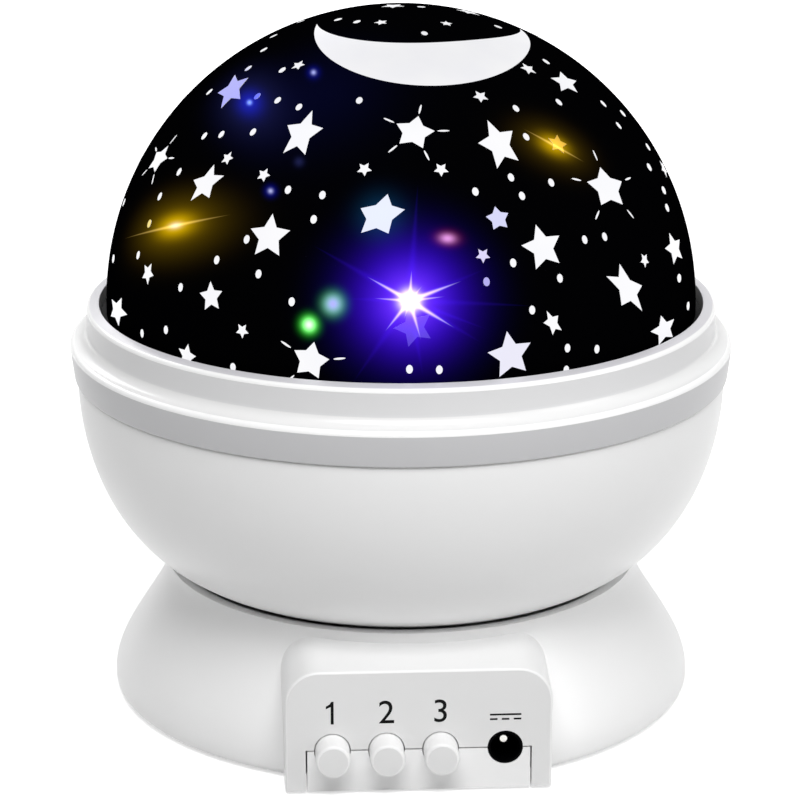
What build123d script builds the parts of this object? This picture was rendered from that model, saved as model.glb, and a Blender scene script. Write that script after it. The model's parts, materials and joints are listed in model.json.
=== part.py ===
# Star night light projector: a fixed bell-shaped base with a control panel, a bowl that a small
# gear motor turns, and a star-cut dome that lifts off the bowl. Millimetres, +Z up, origin at the
# centre of the footprint on the table, control panel facing -Y.

import os
from math import acos, cos, pi, radians, sin, tan

from build123d import *

os.makedirs("parts", exist_ok=True)

# ---------------------------------------------------------------- driving dimensions
wall = 2.0                    # moulded shells
seam_gap = 0.3                # shadow gap where two mouldings meet
seat_play = 0.3               # side clearance of a moulding in its seat
running_gap = 0.06            # radial clearance of a turning fit
face_gap = 0.1                # axial clearance of a turning fit

# feet, bottom cover and battery well
foot_proud = 0.6              # the feet lift the bottom rim by this much
foot_radius = 5.0
foot_recess = 1.1
foot_inset = 11.9             # middles of the feet inside the base's widest edge
foot_angle = 55.0             # degrees from +X
foot_edge = 0.4
cover_thickness = 2.4
cell_diameter = 10.5          # AAA
cell_length = 44.5
cell_count = 4
cell_float = 0.5              # cells above the bottom cover
cell_play = 0.4
cell_gap = 0.2                # between neighbouring cells
nub_length = 1.0
nub_radius = 1.9
contact_thickness = 0.4
contact_depth = 2.5           # room for one contact at each end of a cell
leaf_width = 5.0
leaf_rise = 3.0
leaf_foot = 1.0               # contact's root below its fold
leaf_lip = 0.6                # contact's free end below the top of its plate
well_wall = 1.2
door_thickness = 1.4
door_lap = 1.6                # how far the door overlaps the cover round its opening
door_tab_length = 6.0
door_tab_width = 12.0
door_corner = 2.0
door_screw_radius = 1.1
door_screw_head = 2.3
door_screw_land = 0.2         # flat above the countersink
door_boss = 5.0
door_boss_cap = 0.8           # boss left above the screw's tip
door_cross_length = 2.6       # cross recess of the screw
door_cross_width = 0.6
groove_count = 5
groove_pitch = 2.0
groove_width = 1.0

# base shell
base_flare = 11.0             # widest edge outside the neck
base_round = 1.4
base_swell = 2.0              # height of the widest point above the rim
neck_gap = 0.6                # neck rim below the bowl
lead_space = 2.6              # between battery well and deck
lead_radius = 0.8
solder_rise = 3.3             # leads end on the board this far above the controls' middles
deck_thickness = 1.8
post_radius = 3.5
post_inset = 2.6              # middles of the screw posts inside the neck
post_angle = 30.0             # degrees from the X axis
post_web = 2.0                # cover between a post and its screw's head
screw_grip = 9.0
screw_radius = 1.25
screw_play = 0.2
screw_head_radius = 2.7
screw_head_height = 1.5

# control panel
panel_proud = 1.7             # front face outside the base's widest edge
panel_depth = 23.6            # block from its front face to where it ends inside the skirt
panel_margin = 8.7            # side of the panel outside the outer controls
panel_drop = 2.2              # panel's top below the neck's rim
panel_corner = 7.0            # upper corners of the block
panel_edge = 0.5              # round of the face's edge
panel_draft = 1.5             # degrees
pocket_depth = 5.5            # hollow behind the panel above the deck
pillar_width = 3.9            # base shell left standing beside the tongue
control_height = 8.7
button_pitch = 10.0
jack_gap = 12.0               # from the last button to the socket
button_radius = 3.2
button_proud = 5.4
button_play = 0.2
button_flange = 0.8           # flange wider than the button all round
button_flange_thickness = 1.0
button_edge = 0.6
button_travel = 1.2
stem_radius = 2.0
board_depth = 13.6            # circuit board behind the panel's face
board_thickness = 1.6
board_side_gap = 0.7
board_clearance = 0.8         # board above the cover
board_height = 12.4
board_screw_drop = 2.6        # screws below the board's top edge
board_screw_radius = 1.0
board_screw_play = 0.2
board_screw_head = 1.8
board_screw_head_height = 1.1
board_screw_grip = 3.5
pillar_side = 5.0             # square pillars that hold the board
pillar_cap = 2.4              # pillar above its screw
pillar_bore = 4.0
chip_size = (6.0, 4.0, 1.2)
chip_place = (-5.5, 8.5)      # on the board, from its lower edge
resistor_size = (3.2, 1.6)
resistor_places = [(8.5, 2.2), (8.5, 4.6)]
capacitor_radius = 2.5
capacitor_height = 5.0
capacitor_place = (18.5, 4.0)
switch_side = 6.0
switch_depth = 3.6
switch_corner = 0.8
switch_floor = 1.2            # plunger's well deeper than its travel
plunger_root = 0.8
plunger_radius = 1.6
plunger_proud = 1.4
jack_snout_radius = 3.2
jack_bore_radius = 2.8
jack_bore_depth = 9.6
jack_pin_radius = 1.0
jack_pin_recess = 3.7
jack_pin_round = 0.4
jack_tail_radius = 0.8        # thinner root of the pin, set in the housing
jack_tail = 2.5
jack_width = 9.0
jack_height = 11.0

# drive
bowl_teeth = 60
pinion_teeth = 12
gear_backlash = 0.3
bowl_addendum = 0.7           # shares of the module
pinion_addendum = 0.9
dedendum = 1.25
bowl_gear_face = 2.8
bowl_gear_rim = 4.6           # ring between the gear's bore and its teeth
gear_screw_radius = 1.0
gear_screw_share = 0.8        # share of the gear's face that its screws enter
pinion_face = 2.8
pinion_lift = 0.8             # pinion above the deck
motor_radius = 11.5
motor_gap = 1.9               # between motor and battery well
motor_overhang = 0.6          # motor reaches this far past the neck, under the flare
motor_height = 12.0
motor_round = 0.8
motor_ear = 16.0              # ear screws from the shaft
motor_ear_width = 7.0
motor_ear_thickness = 1.2
motor_shaft_radius = 1.5
motor_screw_radius = 1.2
shaft_seat = 4.0
shaft_room = 2.0              # hole in the deck round the shaft
terminal_x = 11.0
terminal_reach = 9.25         # terminal block's front face before the shaft
terminal_size = (4.0, 4.5, 5.0)

# spindle and turntable bearing
spindle_radius = 8.0
spindle_bore = 5.0
spindle_flange = 13.0
spindle_flange_thickness = 1.5
spindle_screw_radius = 1.1
spindle_screw_cap = 0.3       # flange left above its screws
small_head_radius = 2.0       # heads of the gear's and the spindle's screws
small_head_height = 1.2
motor_head_radius = 2.2
washer_thickness = 0.6
washer_lap = 1.0              # washer wider than the hub
hub_wall = 3.0
hub_drop = 2.0                # hub below the bowl's floor
hub_height = 12.0             # hub above the bowl's underside
clip_thickness = 1.0
clip_groove = 0.8
clip_step = 0.5               # clip narrower than the hub

# bowl
bowl_flat_margin = 2.3        # flat underside outside its gear's teeth
bowl_depth = 40.6
bowl_low_handle = 17.9        # how far the curve runs out of the flat before it rises
bowl_high_handle = 22.8       # how far it hangs below the rim
bowl_ribs = 6
rib_thickness = 1.6
rib_reach = 4.0               # ribs past the flat underside
rib_low = 1.5                 # height of a rib's outer end
rib_high = 7.2                # height of a rib at the hub
rib_sink = 0.5
spigot_step = 1.1
spigot_wall = 2.2
spigot_height = 5.2
shelf_width = 2.6
shelf_thickness = 2.0
shelf_drop = 0.2              # shelf below the top of the spigot

# trim ring
ring_band_height = 6.0
ring_band_low = 0.7           # band leans in by this much at its lower edge
ring_overhang = 1.3           # shoulder outside the bowl
ring_shoulder_round = 0.8
ring_shelf_width = 3.4        # shoulder outside the lip
ring_shelf_flat = 0.3         # flat between the shoulder's round and the cove
ring_lip_gap = 1.4            # between dome and lip
ring_lip_width = 2.5
ring_lip_slope = 0.65         # lip's top rises by this much towards the dome
ring_lip_round = 0.8
ring_spigot_play = 0.15
ring_seat_lap = 0.4           # ring over the inside of the bowl's spigot
ring_rise = 13.9              # lip above the bowl's rim
ring_ledge_reveal = 0.1       # ledge's edge outside the inside of the dome
ring_ledge_thickness = 1.2

# dome and light
dome_radius = 57.7
dome_sink = 0.2               # dome centre below the lip
film_thickness = 0.4
lens_wall = 1.6
lens_flange_gap = 0.4
lens_flange_drop = 1.2        # flange and the film's foot below the dome's centre
dish_play = 0.2
dish_flange = 4.0
dish_wall = 1.2
dish_gap = 2.0                # between dish and light plate
dish_depth = 8.0
dish_bulge = 0.15             # sag of the dish's curve, as a share of its depth
light_radius = 15.0
light_plate = 2.4
light_drop = 10.0             # light plate below the lip's ledge
light_collar = 4.0
lead_hole_step = 1.0          # lead's hole in the plate narrower than the spindle's bore
light_collar_play = 0.05
light_board_step = 1.0        # board narrower than its plate
light_board_thickness = 1.6
led_radius = 2.5
led_rim = 0.4
led_rim_height = 1.0
led_circle = 7.5
led_height = 5.6

# ---------------------------------------------------------------- radii that follow
ring_lip_inner = dome_radius + ring_lip_gap
ring_lip_outer = ring_lip_inner + ring_lip_width
ring_radius = ring_lip_outer + ring_shelf_width     # widest point of the whole lamp
ring_cove = ring_shelf_width - ring_shoulder_round - ring_shelf_flat
bowl_radius = ring_radius - ring_overhang
lens_radius = dome_radius - film_thickness
cell_pitch = cell_diameter + cell_gap
well_half_x = cell_length / 2 + contact_depth
well_half_y = cell_count * cell_pitch / 2
motor_y = well_half_y + well_wall + motor_gap + motor_radius
gear_module = 2 * motor_y / (bowl_teeth + pinion_teeth)
bowl_flat = gear_module * (bowl_teeth / 2 + bowl_addendum) + bowl_flat_margin
neck_radius = motor_y + motor_radius - motor_overhang
base_radius = neck_radius + base_flare
foot_circle = base_radius - foot_inset
panel_face = base_radius + panel_proud
control_half = button_pitch + jack_gap / 2
button_places = [number * button_pitch - control_half for number in range(3)]
jack_place = control_half
panel_half_width = control_half + panel_margin

# ---------------------------------------------------------------- heights that follow
rim_z = foot_proud
cover_z = rim_z + cover_thickness
cell_z = cover_z + cell_float + cell_diameter / 2
well_top = cell_z + cell_diameter / 2 + cell_play + well_wall
deck_under = well_top + lead_space
deck_z = deck_under + deck_thickness
flange_z = deck_z + spindle_flange_thickness
washer_z = flange_z + washer_thickness
hub_z = washer_z + face_gap
bowl_z = hub_z + hub_drop
bowl_floor = bowl_z + wall
hub_top = bowl_z + hub_height
bowl_rim = bowl_z + bowl_depth
spigot_top = bowl_rim + spigot_height
ring_bottom = bowl_rim + seam_gap
shoulder_z = ring_bottom + ring_band_height
lip_z = bowl_rim + ring_rise
dish_z = spigot_top - shelf_drop
dish_top = dish_z + dish_wall
ledge_z = dish_top + ring_ledge_thickness
dome_z = lip_z - dome_sink
flange_top = dome_z - lens_flange_drop
lead_z = (well_top + deck_under) / 2
light_z = ledge_z - light_drop

pressure_angle = radians(20)


def bezier_point(handles, t):
    """Point at t on a cubic curve given by its four handles."""
    weights = ((1 - t) ** 3, 3 * t * (1 - t) ** 2, 3 * t * t * (1 - t), t ** 3)
    return tuple(sum(w * h[i] for w, h in zip(weights, handles)) for i in (0, 1))


def bowl_handles(inset):
    """Curve of the bowl's wall from its flat floor to its rim, moved inwards by inset."""
    side = bowl_radius - inset
    floor = bowl_z + inset
    return [(bowl_flat, floor), (bowl_flat + bowl_low_handle - inset, floor),
            (side, bowl_rim - bowl_high_handle), (side, bowl_rim)]


def bowl_height_at(radius):
    """Height of the bowl's outer surface at a radius outside its flat."""
    low, high = 0.0, 1.0
    for _ in range(40):
        middle = (low + high) / 2
        if bezier_point(bowl_handles(0), middle)[0] < radius:
            low = middle
        else:
            high = middle
    return bezier_point(bowl_handles(0), low)[1]


neck_top = bowl_height_at(neck_radius - wall) - neck_gap
panel_top = neck_top - panel_drop


def bell_handles(inset):
    """S-curve of the base's side, from its widest point up to the neck."""
    swell = rim_z + base_swell
    rise = neck_top - swell
    foot, neck = base_radius - inset, neck_radius - inset
    return [(foot, swell), (foot, swell + 0.3 * rise), (neck, neck_top - 0.3 * rise), (neck, neck_top)]


def tooth_outline(teeth, addendum):
    """One involute tooth pointing along +X; its foot runs a little into the gear's blank."""
    pitch = gear_module * teeth / 2
    base = pitch * cos(pressure_angle)
    root = pitch - dedendum * gear_module
    tip = pitch + addendum * gear_module
    half = pi / (2 * teeth) - gear_backlash / (4 * pitch) + tan(pressure_angle) - pressure_angle
    start = max(root, base)
    flank = []
    for step in range(4):
        radius = start + (tip - start) * step / 3
        roll = acos(base / radius)
        angle = half - (tan(roll) - roll)
        flank.append((radius * cos(angle), radius * sin(angle)))
    foot = [((root - 0.4) * cos(half), (root - 0.4) * sin(half))]
    upper = foot + flank
    lower = [(x, -y) for x, y in reversed(upper)]
    return upper + lower


def on_panel(depth):
    """Sketch plane parallel to the panel's face, depth behind it, looking out along -Y."""
    return Plane.XZ.offset(panel_face - depth)


# ---------------------------------------------------------------- base shell
tongue_half = panel_half_width - pillar_width
button_hole = button_radius + button_play
jack_hole = jack_snout_radius + face_gap
post_foot = cover_z + post_web
post_circle = neck_radius - post_inset
post_places = [(side * post_circle * cos(radians(post_angle)), end * post_circle * sin(radians(post_angle)))
               for side in (-1, 1) for end in (-1, 1)]
foot_places = [(side * foot_circle * cos(radians(foot_angle)), end * foot_circle * sin(radians(foot_angle)))
               for side in (-1, 1) for end in (-1, 1)]
spindle_screw_circle = (spindle_radius + spindle_flange) / 2
shaft_hole = motor_shaft_radius + shaft_room


def bell_profile(inset, foot_z):
    """Half section of the base, solid to the axis, moved inwards by inset."""
    foot, swell, side, top = bell_handles(inset)
    corner = base_round if inset == 0 else 0.0
    with BuildSketch(Plane.XZ) as section:
        with BuildLine():
            Bezier(foot, swell, side, top)
            Polyline(top, (0, top[1]), (0, foot_z), (foot[0] - corner, foot_z))
            if corner:
                TangentArc((foot[0] - corner, foot_z), (foot[0], foot_z + corner), tangent=(1, 0))
            Line((foot[0], foot_z + corner), foot)
        make_face()
    return section.sketch


with BuildPart() as skirt_room:
    add(bell_profile(wall, rim_z - 1))
    revolve(axis=Axis.Z)
    split(bisect_by=Plane.XY.offset(deck_under), keep=Keep.BOTTOM)

with BuildPart() as base_shell:
    add(bell_profile(0, rim_z))
    revolve(axis=Axis.Z)
    # control panel: a drafted block that grows out of the skirt
    spread = panel_depth * tan(radians(panel_draft))
    with BuildSketch(on_panel(panel_depth)):
        with Locations((0, rim_z - 2 * spread)):
            Rectangle(2 * (panel_half_width + spread), panel_top - rim_z + 3 * spread,
                      align=(Align.CENTER, Align.MIN))
        fillet(vertices().group_by(Axis.Y)[-1], panel_corner)
    extrude(amount=panel_depth, taper=panel_draft)
    split(bisect_by=Plane.XY.offset(rim_z), keep=Keep.TOP)
    face_edges = faces().sort_by(Axis.Y)[0].edges()
    fillet(face_edges.sort_by(Axis.Z)[1:], panel_edge)
    # hollow below the deck, behind the panel, and the recess for the drive above the deck
    add(skirt_room.part, mode=Mode.SUBTRACT)
    inner_half = panel_half_width - wall
    with BuildSketch(on_panel(panel_depth)):
        with Locations((0, rim_z)):
            Rectangle(2 * inner_half, deck_under - rim_z, align=(Align.CENTER, Align.MIN))
    extrude(amount=panel_depth - wall, mode=Mode.SUBTRACT)
    with BuildSketch(on_panel(wall + pocket_depth)):
        with Locations((0, rim_z)):
            Rectangle(2 * inner_half, panel_top - wall - rim_z, align=(Align.CENTER, Align.MIN))
        fillet(vertices().group_by(Axis.Y)[-1], panel_corner - wall)
    extrude(amount=pocket_depth, mode=Mode.SUBTRACT)
    with BuildSketch(Plane.XY.offset(deck_z)):
        Circle(neck_radius - wall)
    extrude(amount=neck_top - deck_z, mode=Mode.SUBTRACT)
    # screw posts
    with BuildSketch(Plane.XY.offset(post_foot)):
        with Locations(*post_places):
            Circle(post_radius)
    extrude(amount=deck_under - post_foot)
    with BuildSketch(Plane.XY.offset(post_foot)):
        with Locations(*post_places):
            Circle(screw_radius)
    extrude(amount=screw_grip, mode=Mode.SUBTRACT)
    # openings in the deck for the lead, the spindle's screws and the motor
    with BuildSketch(Plane.XY.offset(deck_under)):
        Circle(spindle_bore)
        with PolarLocations(spindle_screw_circle, 3, start_angle=60):
            Circle(spindle_screw_radius)
        with Locations((0, motor_y)):
            Circle(shaft_hole)
            with GridLocations(2 * motor_ear, 0, 2, 1):
                Circle(motor_screw_radius)
    extrude(amount=deck_thickness, mode=Mode.SUBTRACT)
    # notch for the bottom cover's tongue, and the upper halves of the panel's holes
    with BuildSketch(on_panel(0)):
        with Locations((0, rim_z)):
            Rectangle(2 * tongue_half + seam_gap, control_height + seam_gap / 2 - rim_z,
                      align=(Align.CENTER, Align.MIN))
        with Locations(*[(x, control_height) for x in button_places]):
            Circle(button_hole)
        with Locations((jack_place, control_height)):
            Circle(jack_hole)
    extrude(amount=-wall, mode=Mode.SUBTRACT)
base_shell.part.label = "base_shell"
export_step(base_shell.part, "parts/base_shell.step")

# ---------------------------------------------------------------- bottom cover
tongue_top = control_height - seam_gap / 2
door_half_x = well_half_x + door_lap
door_half_y = well_half_y + door_lap
door_screw_x = door_half_x + door_tab_length / 2
board_front = board_depth - panel_face
board_back = board_front + board_thickness
board_low = cover_z + board_clearance
board_half_width = panel_half_width - wall - board_side_gap
board_screw_z = board_low + board_height - board_screw_drop
board_screw_places = [button_places[0], button_places[2]]
cover_radius = base_radius - wall - seat_play


def door_outline(grow):
    """Battery door seen from below, with its screw tab at +X, grown by grow all round."""
    with BuildSketch() as outline:
        Rectangle(2 * (door_half_x + grow), 2 * (door_half_y + grow))
        with Locations((door_half_x, 0)):
            Rectangle(2 * (door_tab_length + grow), door_tab_width + 2 * grow)
        fillet(outline.vertices().group_by(Axis.X)[-1], door_corner)
    return outline.sketch


with BuildPart() as bottom_cover:
    with BuildSketch(Plane.XY.offset(rim_z)):
        Circle(cover_radius)
        with Locations((0, -panel_face)):
            Rectangle(2 * tongue_half - seam_gap, panel_depth,
                      align=(Align.CENTER, Align.MIN))
    extrude(amount=cover_thickness)
    # tongue that closes the lower half of the panel
    with BuildSketch(on_panel(wall)):
        with Locations((0, rim_z)):
            Rectangle(2 * tongue_half - seam_gap, tongue_top - rim_z,
                      align=(Align.CENTER, Align.MIN))
    extrude(amount=wall)
    with BuildSketch(on_panel(0)):
        with Locations(*[(x, control_height) for x in button_places]):
            Circle(button_hole)
        with Locations((jack_place, control_height)):
            Circle(jack_hole)
    extrude(amount=-wall, mode=Mode.SUBTRACT)
    # battery well, screw seats, door boss and the board's pillars
    with BuildSketch(Plane.XY.offset(cover_z)):
        Rectangle(2 * (well_half_x + well_wall), 2 * (well_half_y + well_wall))
    extrude(amount=well_top - cover_z)
    with BuildSketch(Plane.XY.offset(cover_z)):
        with Locations(*post_places):
            Circle(post_radius)
    extrude(amount=post_foot - cover_z)
    with BuildSketch(Plane.XY.offset(cover_z)):
        with Locations((door_screw_x, 0)):
            Circle(post_radius)
    extrude(amount=door_boss)
    with BuildSketch(Plane.XY.offset(cover_z)):
        with Locations(*[(x, board_back) for x in board_screw_places]):
            Rectangle(pillar_side, pillar_side, align=(Align.CENTER, Align.MIN))
    extrude(amount=board_screw_z + pillar_cap - cover_z)
    # hollows
    with BuildSketch(Plane.XY.offset(rim_z)):
        Rectangle(2 * well_half_x, 2 * well_half_y)
    extrude(amount=well_top - well_wall - rim_z, mode=Mode.SUBTRACT)
    with BuildSketch(Plane.XY.offset(rim_z)):
        add(door_outline(seat_play))
    extrude(amount=door_thickness, mode=Mode.SUBTRACT)
    with BuildSketch(Plane.XY.offset(rim_z)):
        with Locations((door_screw_x, 0)):
            Circle(door_screw_radius + seat_play)
    extrude(amount=cover_thickness + door_boss, mode=Mode.SUBTRACT)
    with BuildSketch(Plane.XY.offset(rim_z)):
        with Locations(*foot_places):
            Circle(foot_radius + seat_play / 2)
    extrude(amount=foot_recess, mode=Mode.SUBTRACT)
    with BuildSketch(Plane.XY.offset(rim_z)):
        with Locations(*post_places):
            Circle(screw_radius + screw_play)
    extrude(amount=post_foot - rim_z, mode=Mode.SUBTRACT)
    with BuildSketch(Plane.XY.offset(rim_z)):
        with Locations(*post_places):
            Circle(screw_head_radius + seat_play)
    extrude(amount=cover_z - rim_z, mode=Mode.SUBTRACT)
    with BuildSketch(Plane.XZ.offset(-board_back)):
        with Locations(*[(x, board_screw_z) for x in board_screw_places]):
            Circle(board_screw_radius)
    extrude(amount=-pillar_bore, mode=Mode.SUBTRACT)
bottom_cover.part.label = "bottom_cover"
export_step(bottom_cover.part, "parts/bottom_cover.step")

# ---------------------------------------------------------------- feet, screws and battery door
with BuildPart() as feet:
    with BuildSketch():
        with Locations(*foot_places):
            Circle(foot_radius)
    extrude(amount=rim_z + foot_recess)
    chamfer(faces().sort_by(Axis.Z)[0:4].edges(), foot_edge)
feet.part.label = "feet"
export_step(feet.part, "parts/feet.step")


def screw_group(places, seat, direction, head_radius, head_height, shank_radius, shank_length):
    """Pan-head screws at places; direction is +1 when the shanks point up from the seat, else -1."""
    with BuildPart() as group:
        with BuildSketch(Plane.XY.offset(seat)):
            with Locations(*places):
                Circle(head_radius)
        extrude(amount=-direction * head_height)
        heads = group.faces().sort_by(Axis.Z)
        outer = heads[0:len(places)] if direction > 0 else heads[-len(places):]
        fillet(outer.edges(), 0.35 * head_height)
        with BuildSketch(Plane.XY.offset(seat)):
            with Locations(*places):
                Circle(shank_radius)
        extrude(amount=direction * shank_length)
        with BuildSketch(Plane.XY.offset(seat - direction * head_height)):
            with Locations(*places):
                Rectangle(1.2 * head_radius, 0.3 * head_radius)
                Rectangle(0.3 * head_radius, 1.2 * head_radius)
        extrude(amount=direction * 0.4 * head_height, mode=Mode.SUBTRACT)
    return group.part


base_screws = screw_group(post_places, cover_z, 1, screw_head_radius, screw_head_height,
                          screw_radius, post_web + 0.9 * screw_grip)
base_screws.label = "base_screws"
export_step(base_screws, "parts/base_screws.step")

with BuildPart() as battery_door:
    with BuildSketch(Plane.XY.offset(rim_z)):
        add(door_outline(0))
    extrude(amount=door_thickness)
    # rim that centres the door in its opening, and finger grooves outside
    with BuildSketch(Plane.XY.offset(rim_z + door_thickness)):
        Rectangle(2 * (well_half_x - seat_play), 2 * (well_half_y - seat_play))
        Rectangle(2 * (well_half_x - seat_play - well_wall), 2 * (well_half_y - seat_play - well_wall),
                  mode=Mode.SUBTRACT)
    extrude(amount=cover_thickness - door_thickness)
    with BuildSketch(Plane.XY.offset(rim_z)):
        with GridLocations(groove_pitch, 0, groove_count, 1):
            SlotOverall(1.4 * well_half_y, groove_width, rotation=90)
    extrude(amount=0.4 * door_thickness, mode=Mode.SUBTRACT)
    with BuildSketch(Plane.XY.offset(rim_z)):
        with Locations((door_screw_x, 0)):
            Circle(door_screw_radius)
    extrude(amount=door_thickness, mode=Mode.SUBTRACT)
    with BuildSketch(Plane.XY.offset(rim_z)):
        with Locations((door_screw_x, 0)):
            Circle(door_screw_head)
    extrude(amount=door_thickness - door_screw_land, taper=45, mode=Mode.SUBTRACT)
battery_door.part.label = "battery_door"
export_step(battery_door.part, "parts/battery_door.step")

with BuildPart() as door_screw:
    with BuildSketch(Plane.XY.offset(rim_z)):
        with Locations((door_screw_x, 0)):
            Circle(door_screw_head)
    extrude(amount=door_thickness - door_screw_land, taper=45)
    with BuildSketch(Plane.XY.offset(rim_z + door_screw_land)):
        with Locations((door_screw_x, 0)):
            Circle(door_screw_radius)
    extrude(amount=cover_thickness + door_boss - door_boss_cap)
    with BuildSketch(Plane.XY.offset(rim_z)):
        with Locations((door_screw_x, 0)):
            Rectangle(door_cross_length, door_cross_width)
            Rectangle(door_cross_width, door_cross_length)
    extrude(amount=door_cross_width, mode=Mode.SUBTRACT)
door_screw.part.label = "door_screw"
export_step(door_screw.part, "parts/door_screw.step")

# ---------------------------------------------------------------- cells, contacts and leads
cell_rows = [(row - (cell_count - 1) / 2) * cell_pitch for row in range(cell_count)]

with BuildPart() as aaa_cells:
    for row, y in enumerate(cell_rows):
        facing = 1 if row % 2 == 0 else -1
        with BuildSketch(Plane.YZ.offset(-facing * cell_length / 2)):
            with Locations((y, cell_z)):
                Circle(cell_diameter / 2)
        extrude(amount=facing * (cell_length - nub_length))
        with BuildSketch(Plane.YZ.offset(facing * (cell_length / 2 - nub_length))):
            with Locations((y, cell_z)):
                Circle(nub_radius)
        extrude(amount=facing * nub_length)
aaa_cells.part.label = "aaa_cells"
export_step(aaa_cells.part, "parts/aaa_cells.step")

leaf_high = cell_z + leaf_rise
leaf_low = cell_z - leaf_rise - leaf_foot
with BuildPart() as battery_contacts:
    for y in cell_rows:
        for side in (-1, 1):
            back = side * well_half_x
            tip = side * cell_length / 2
            plate = side * contact_thickness
            with BuildSketch(Plane.XZ.offset(-y - leaf_width / 2)):
                with BuildLine():
                    Polyline((back, leaf_low), (back, leaf_high), (back - plate, leaf_high),
                             (back - plate, leaf_low + leaf_foot), (tip + plate, cell_z),
                             (tip + 2 * plate, leaf_high - leaf_lip), (tip + plate, leaf_high - leaf_lip),
                             (tip, cell_z), (back - plate, leaf_low), (back, leaf_low))
                make_face()
            extrude(amount=leaf_width)
battery_contacts.part.label = "battery_contacts"
export_step(battery_contacts.part, "parts/battery_contacts.step")


def lead(points, radii):
    """Round lead along straight runs joined by arcs."""
    with BuildPart() as wire:
        with BuildLine() as route:
            FilletPolyline(*points, radius=radii)
        with BuildSketch(Plane(route.line @ 0, z_dir=route.line % 0)):
            Circle(lead_radius)
        sweep(path=route.line)
    return wire.part


light_board_z = light_z + light_plate
board_drop = 3.0              # leads turn down this far behind the board
solder_z = control_height + solder_rise
led_lead = lead([(0, 0, light_board_z), (0, 0, lead_z), (0, board_back + board_drop + 3, lead_z),
                 (0, board_back + board_drop, solder_z), (0, board_back, solder_z)], [4.0, 2.0, 1.2])
led_lead.label = "led_lead"
export_step(led_lead, "parts/led_lead.step")

terminal_front = motor_y - terminal_reach
motor_lead = lead([(terminal_x, terminal_front, lead_z), (terminal_x, board_back + board_drop + 3, lead_z),
                   (terminal_x, board_back + board_drop, solder_z), (terminal_x, board_back, solder_z)],
                  [2.0, 1.2])
motor_lead.label = "motor_lead"
export_step(motor_lead, "parts/motor_lead.step")

battery_exit = (-22.0, -well_half_y - well_wall)
battery_lead = lead([(*battery_exit, control_height), (battery_exit[0], battery_exit[1] - 7, control_height),
                     (-11.5, board_back + 6.5, control_height), (-11.5, board_back, control_height)],
                    [3.0, 2.0])
battery_lead.label = "battery_lead"
export_step(battery_lead, "parts/battery_lead.step")

# ---------------------------------------------------------------- circuit board, switches and jack
with BuildPart() as control_board:
    with BuildSketch(Plane.XZ.offset(-board_front)):
        with Locations((0, board_low)):
            Rectangle(2 * board_half_width, board_height, align=(Align.CENTER, Align.MIN))
        with Locations(*[(x, board_screw_z) for x in board_screw_places]):
            Circle(board_screw_radius + board_screw_play, mode=Mode.SUBTRACT)
    extrude(amount=-board_thickness)
    # controller chip, electrolytic capacitor and resistors on the back
    with BuildSketch(Plane.XZ.offset(-board_back)):
        with Locations((chip_place[0], board_low + chip_place[1])):
            Rectangle(*chip_size[:2])
        with Locations(*[(x, board_low + rise) for x, rise in resistor_places]):
            Rectangle(*resistor_size)
    extrude(amount=-chip_size[2])
    with BuildSketch(Plane.XZ.offset(-board_back)):
        with Locations((capacitor_place[0], board_low + capacitor_place[1])):
            Circle(capacitor_radius)
    extrude(amount=-capacitor_height)
control_board.part.label = "control_board"
export_step(control_board.part, "parts/control_board.step")

with BuildPart() as board_screws:
    with BuildSketch(Plane.XZ.offset(-board_front)):
        with Locations(*[(x, board_screw_z) for x in board_screw_places]):
            Circle(board_screw_head)
    extrude(amount=board_screw_head_height)
    with BuildSketch(Plane.XZ.offset(-board_front)):
        with Locations(*[(x, board_screw_z) for x in board_screw_places]):
            Circle(board_screw_radius)
    extrude(amount=-board_thickness - board_screw_grip)
board_screws.part.label = "board_screws"
export_step(board_screws.part, "parts/board_screws.step")

switch_front = board_front - switch_depth
stem_tip = switch_front - plunger_proud
for letter, x in zip("abc", button_places):
    with BuildPart() as switch_body:
        with BuildSketch(Plane.XZ.offset(-board_front)):
            with Locations((x, control_height)):
                RectangleRounded(switch_side, switch_side, switch_corner)
        extrude(amount=switch_depth)
        with BuildSketch(Plane.XZ.offset(-switch_front)):
            with Locations((x, control_height)):
                Circle(plunger_radius + seat_play)
        extrude(amount=-button_travel - switch_floor, mode=Mode.SUBTRACT)
    switch_body.part.label = f"switch_{letter}"
    export_step(switch_body.part, f"parts/switch_{letter}.step")

    with BuildPart() as plunger:
        with BuildSketch(Plane.XZ.offset(-stem_tip)):
            with Locations((x, control_height)):
                Circle(plunger_radius)
        extrude(amount=-plunger_proud - plunger_root)
    plunger.part.label = f"switch_plunger_{letter}"
    export_step(plunger.part, f"parts/switch_plunger_{letter}.step")

    with BuildPart() as button:
        flange_front = wall + face_gap
        with BuildSketch(on_panel(flange_front)):
            with Locations((x, control_height)):
                Circle(button_radius)
        extrude(amount=flange_front + button_proud)
        fillet(faces().sort_by(Axis.Y)[0].edges(), button_edge)
        with BuildSketch(on_panel(flange_front)):
            with Locations((x, control_height)):
                Circle(button_radius + button_flange)
        extrude(amount=-button_flange_thickness)
        with BuildSketch(on_panel(flange_front + button_flange_thickness)):
            with Locations((x, control_height)):
                Circle(stem_radius)
        extrude(amount=flange_front + button_flange_thickness - panel_face - stem_tip)
    button.part.label = f"button_{letter}"
    export_step(button.part, f"parts/button_{letter}.step")

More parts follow.
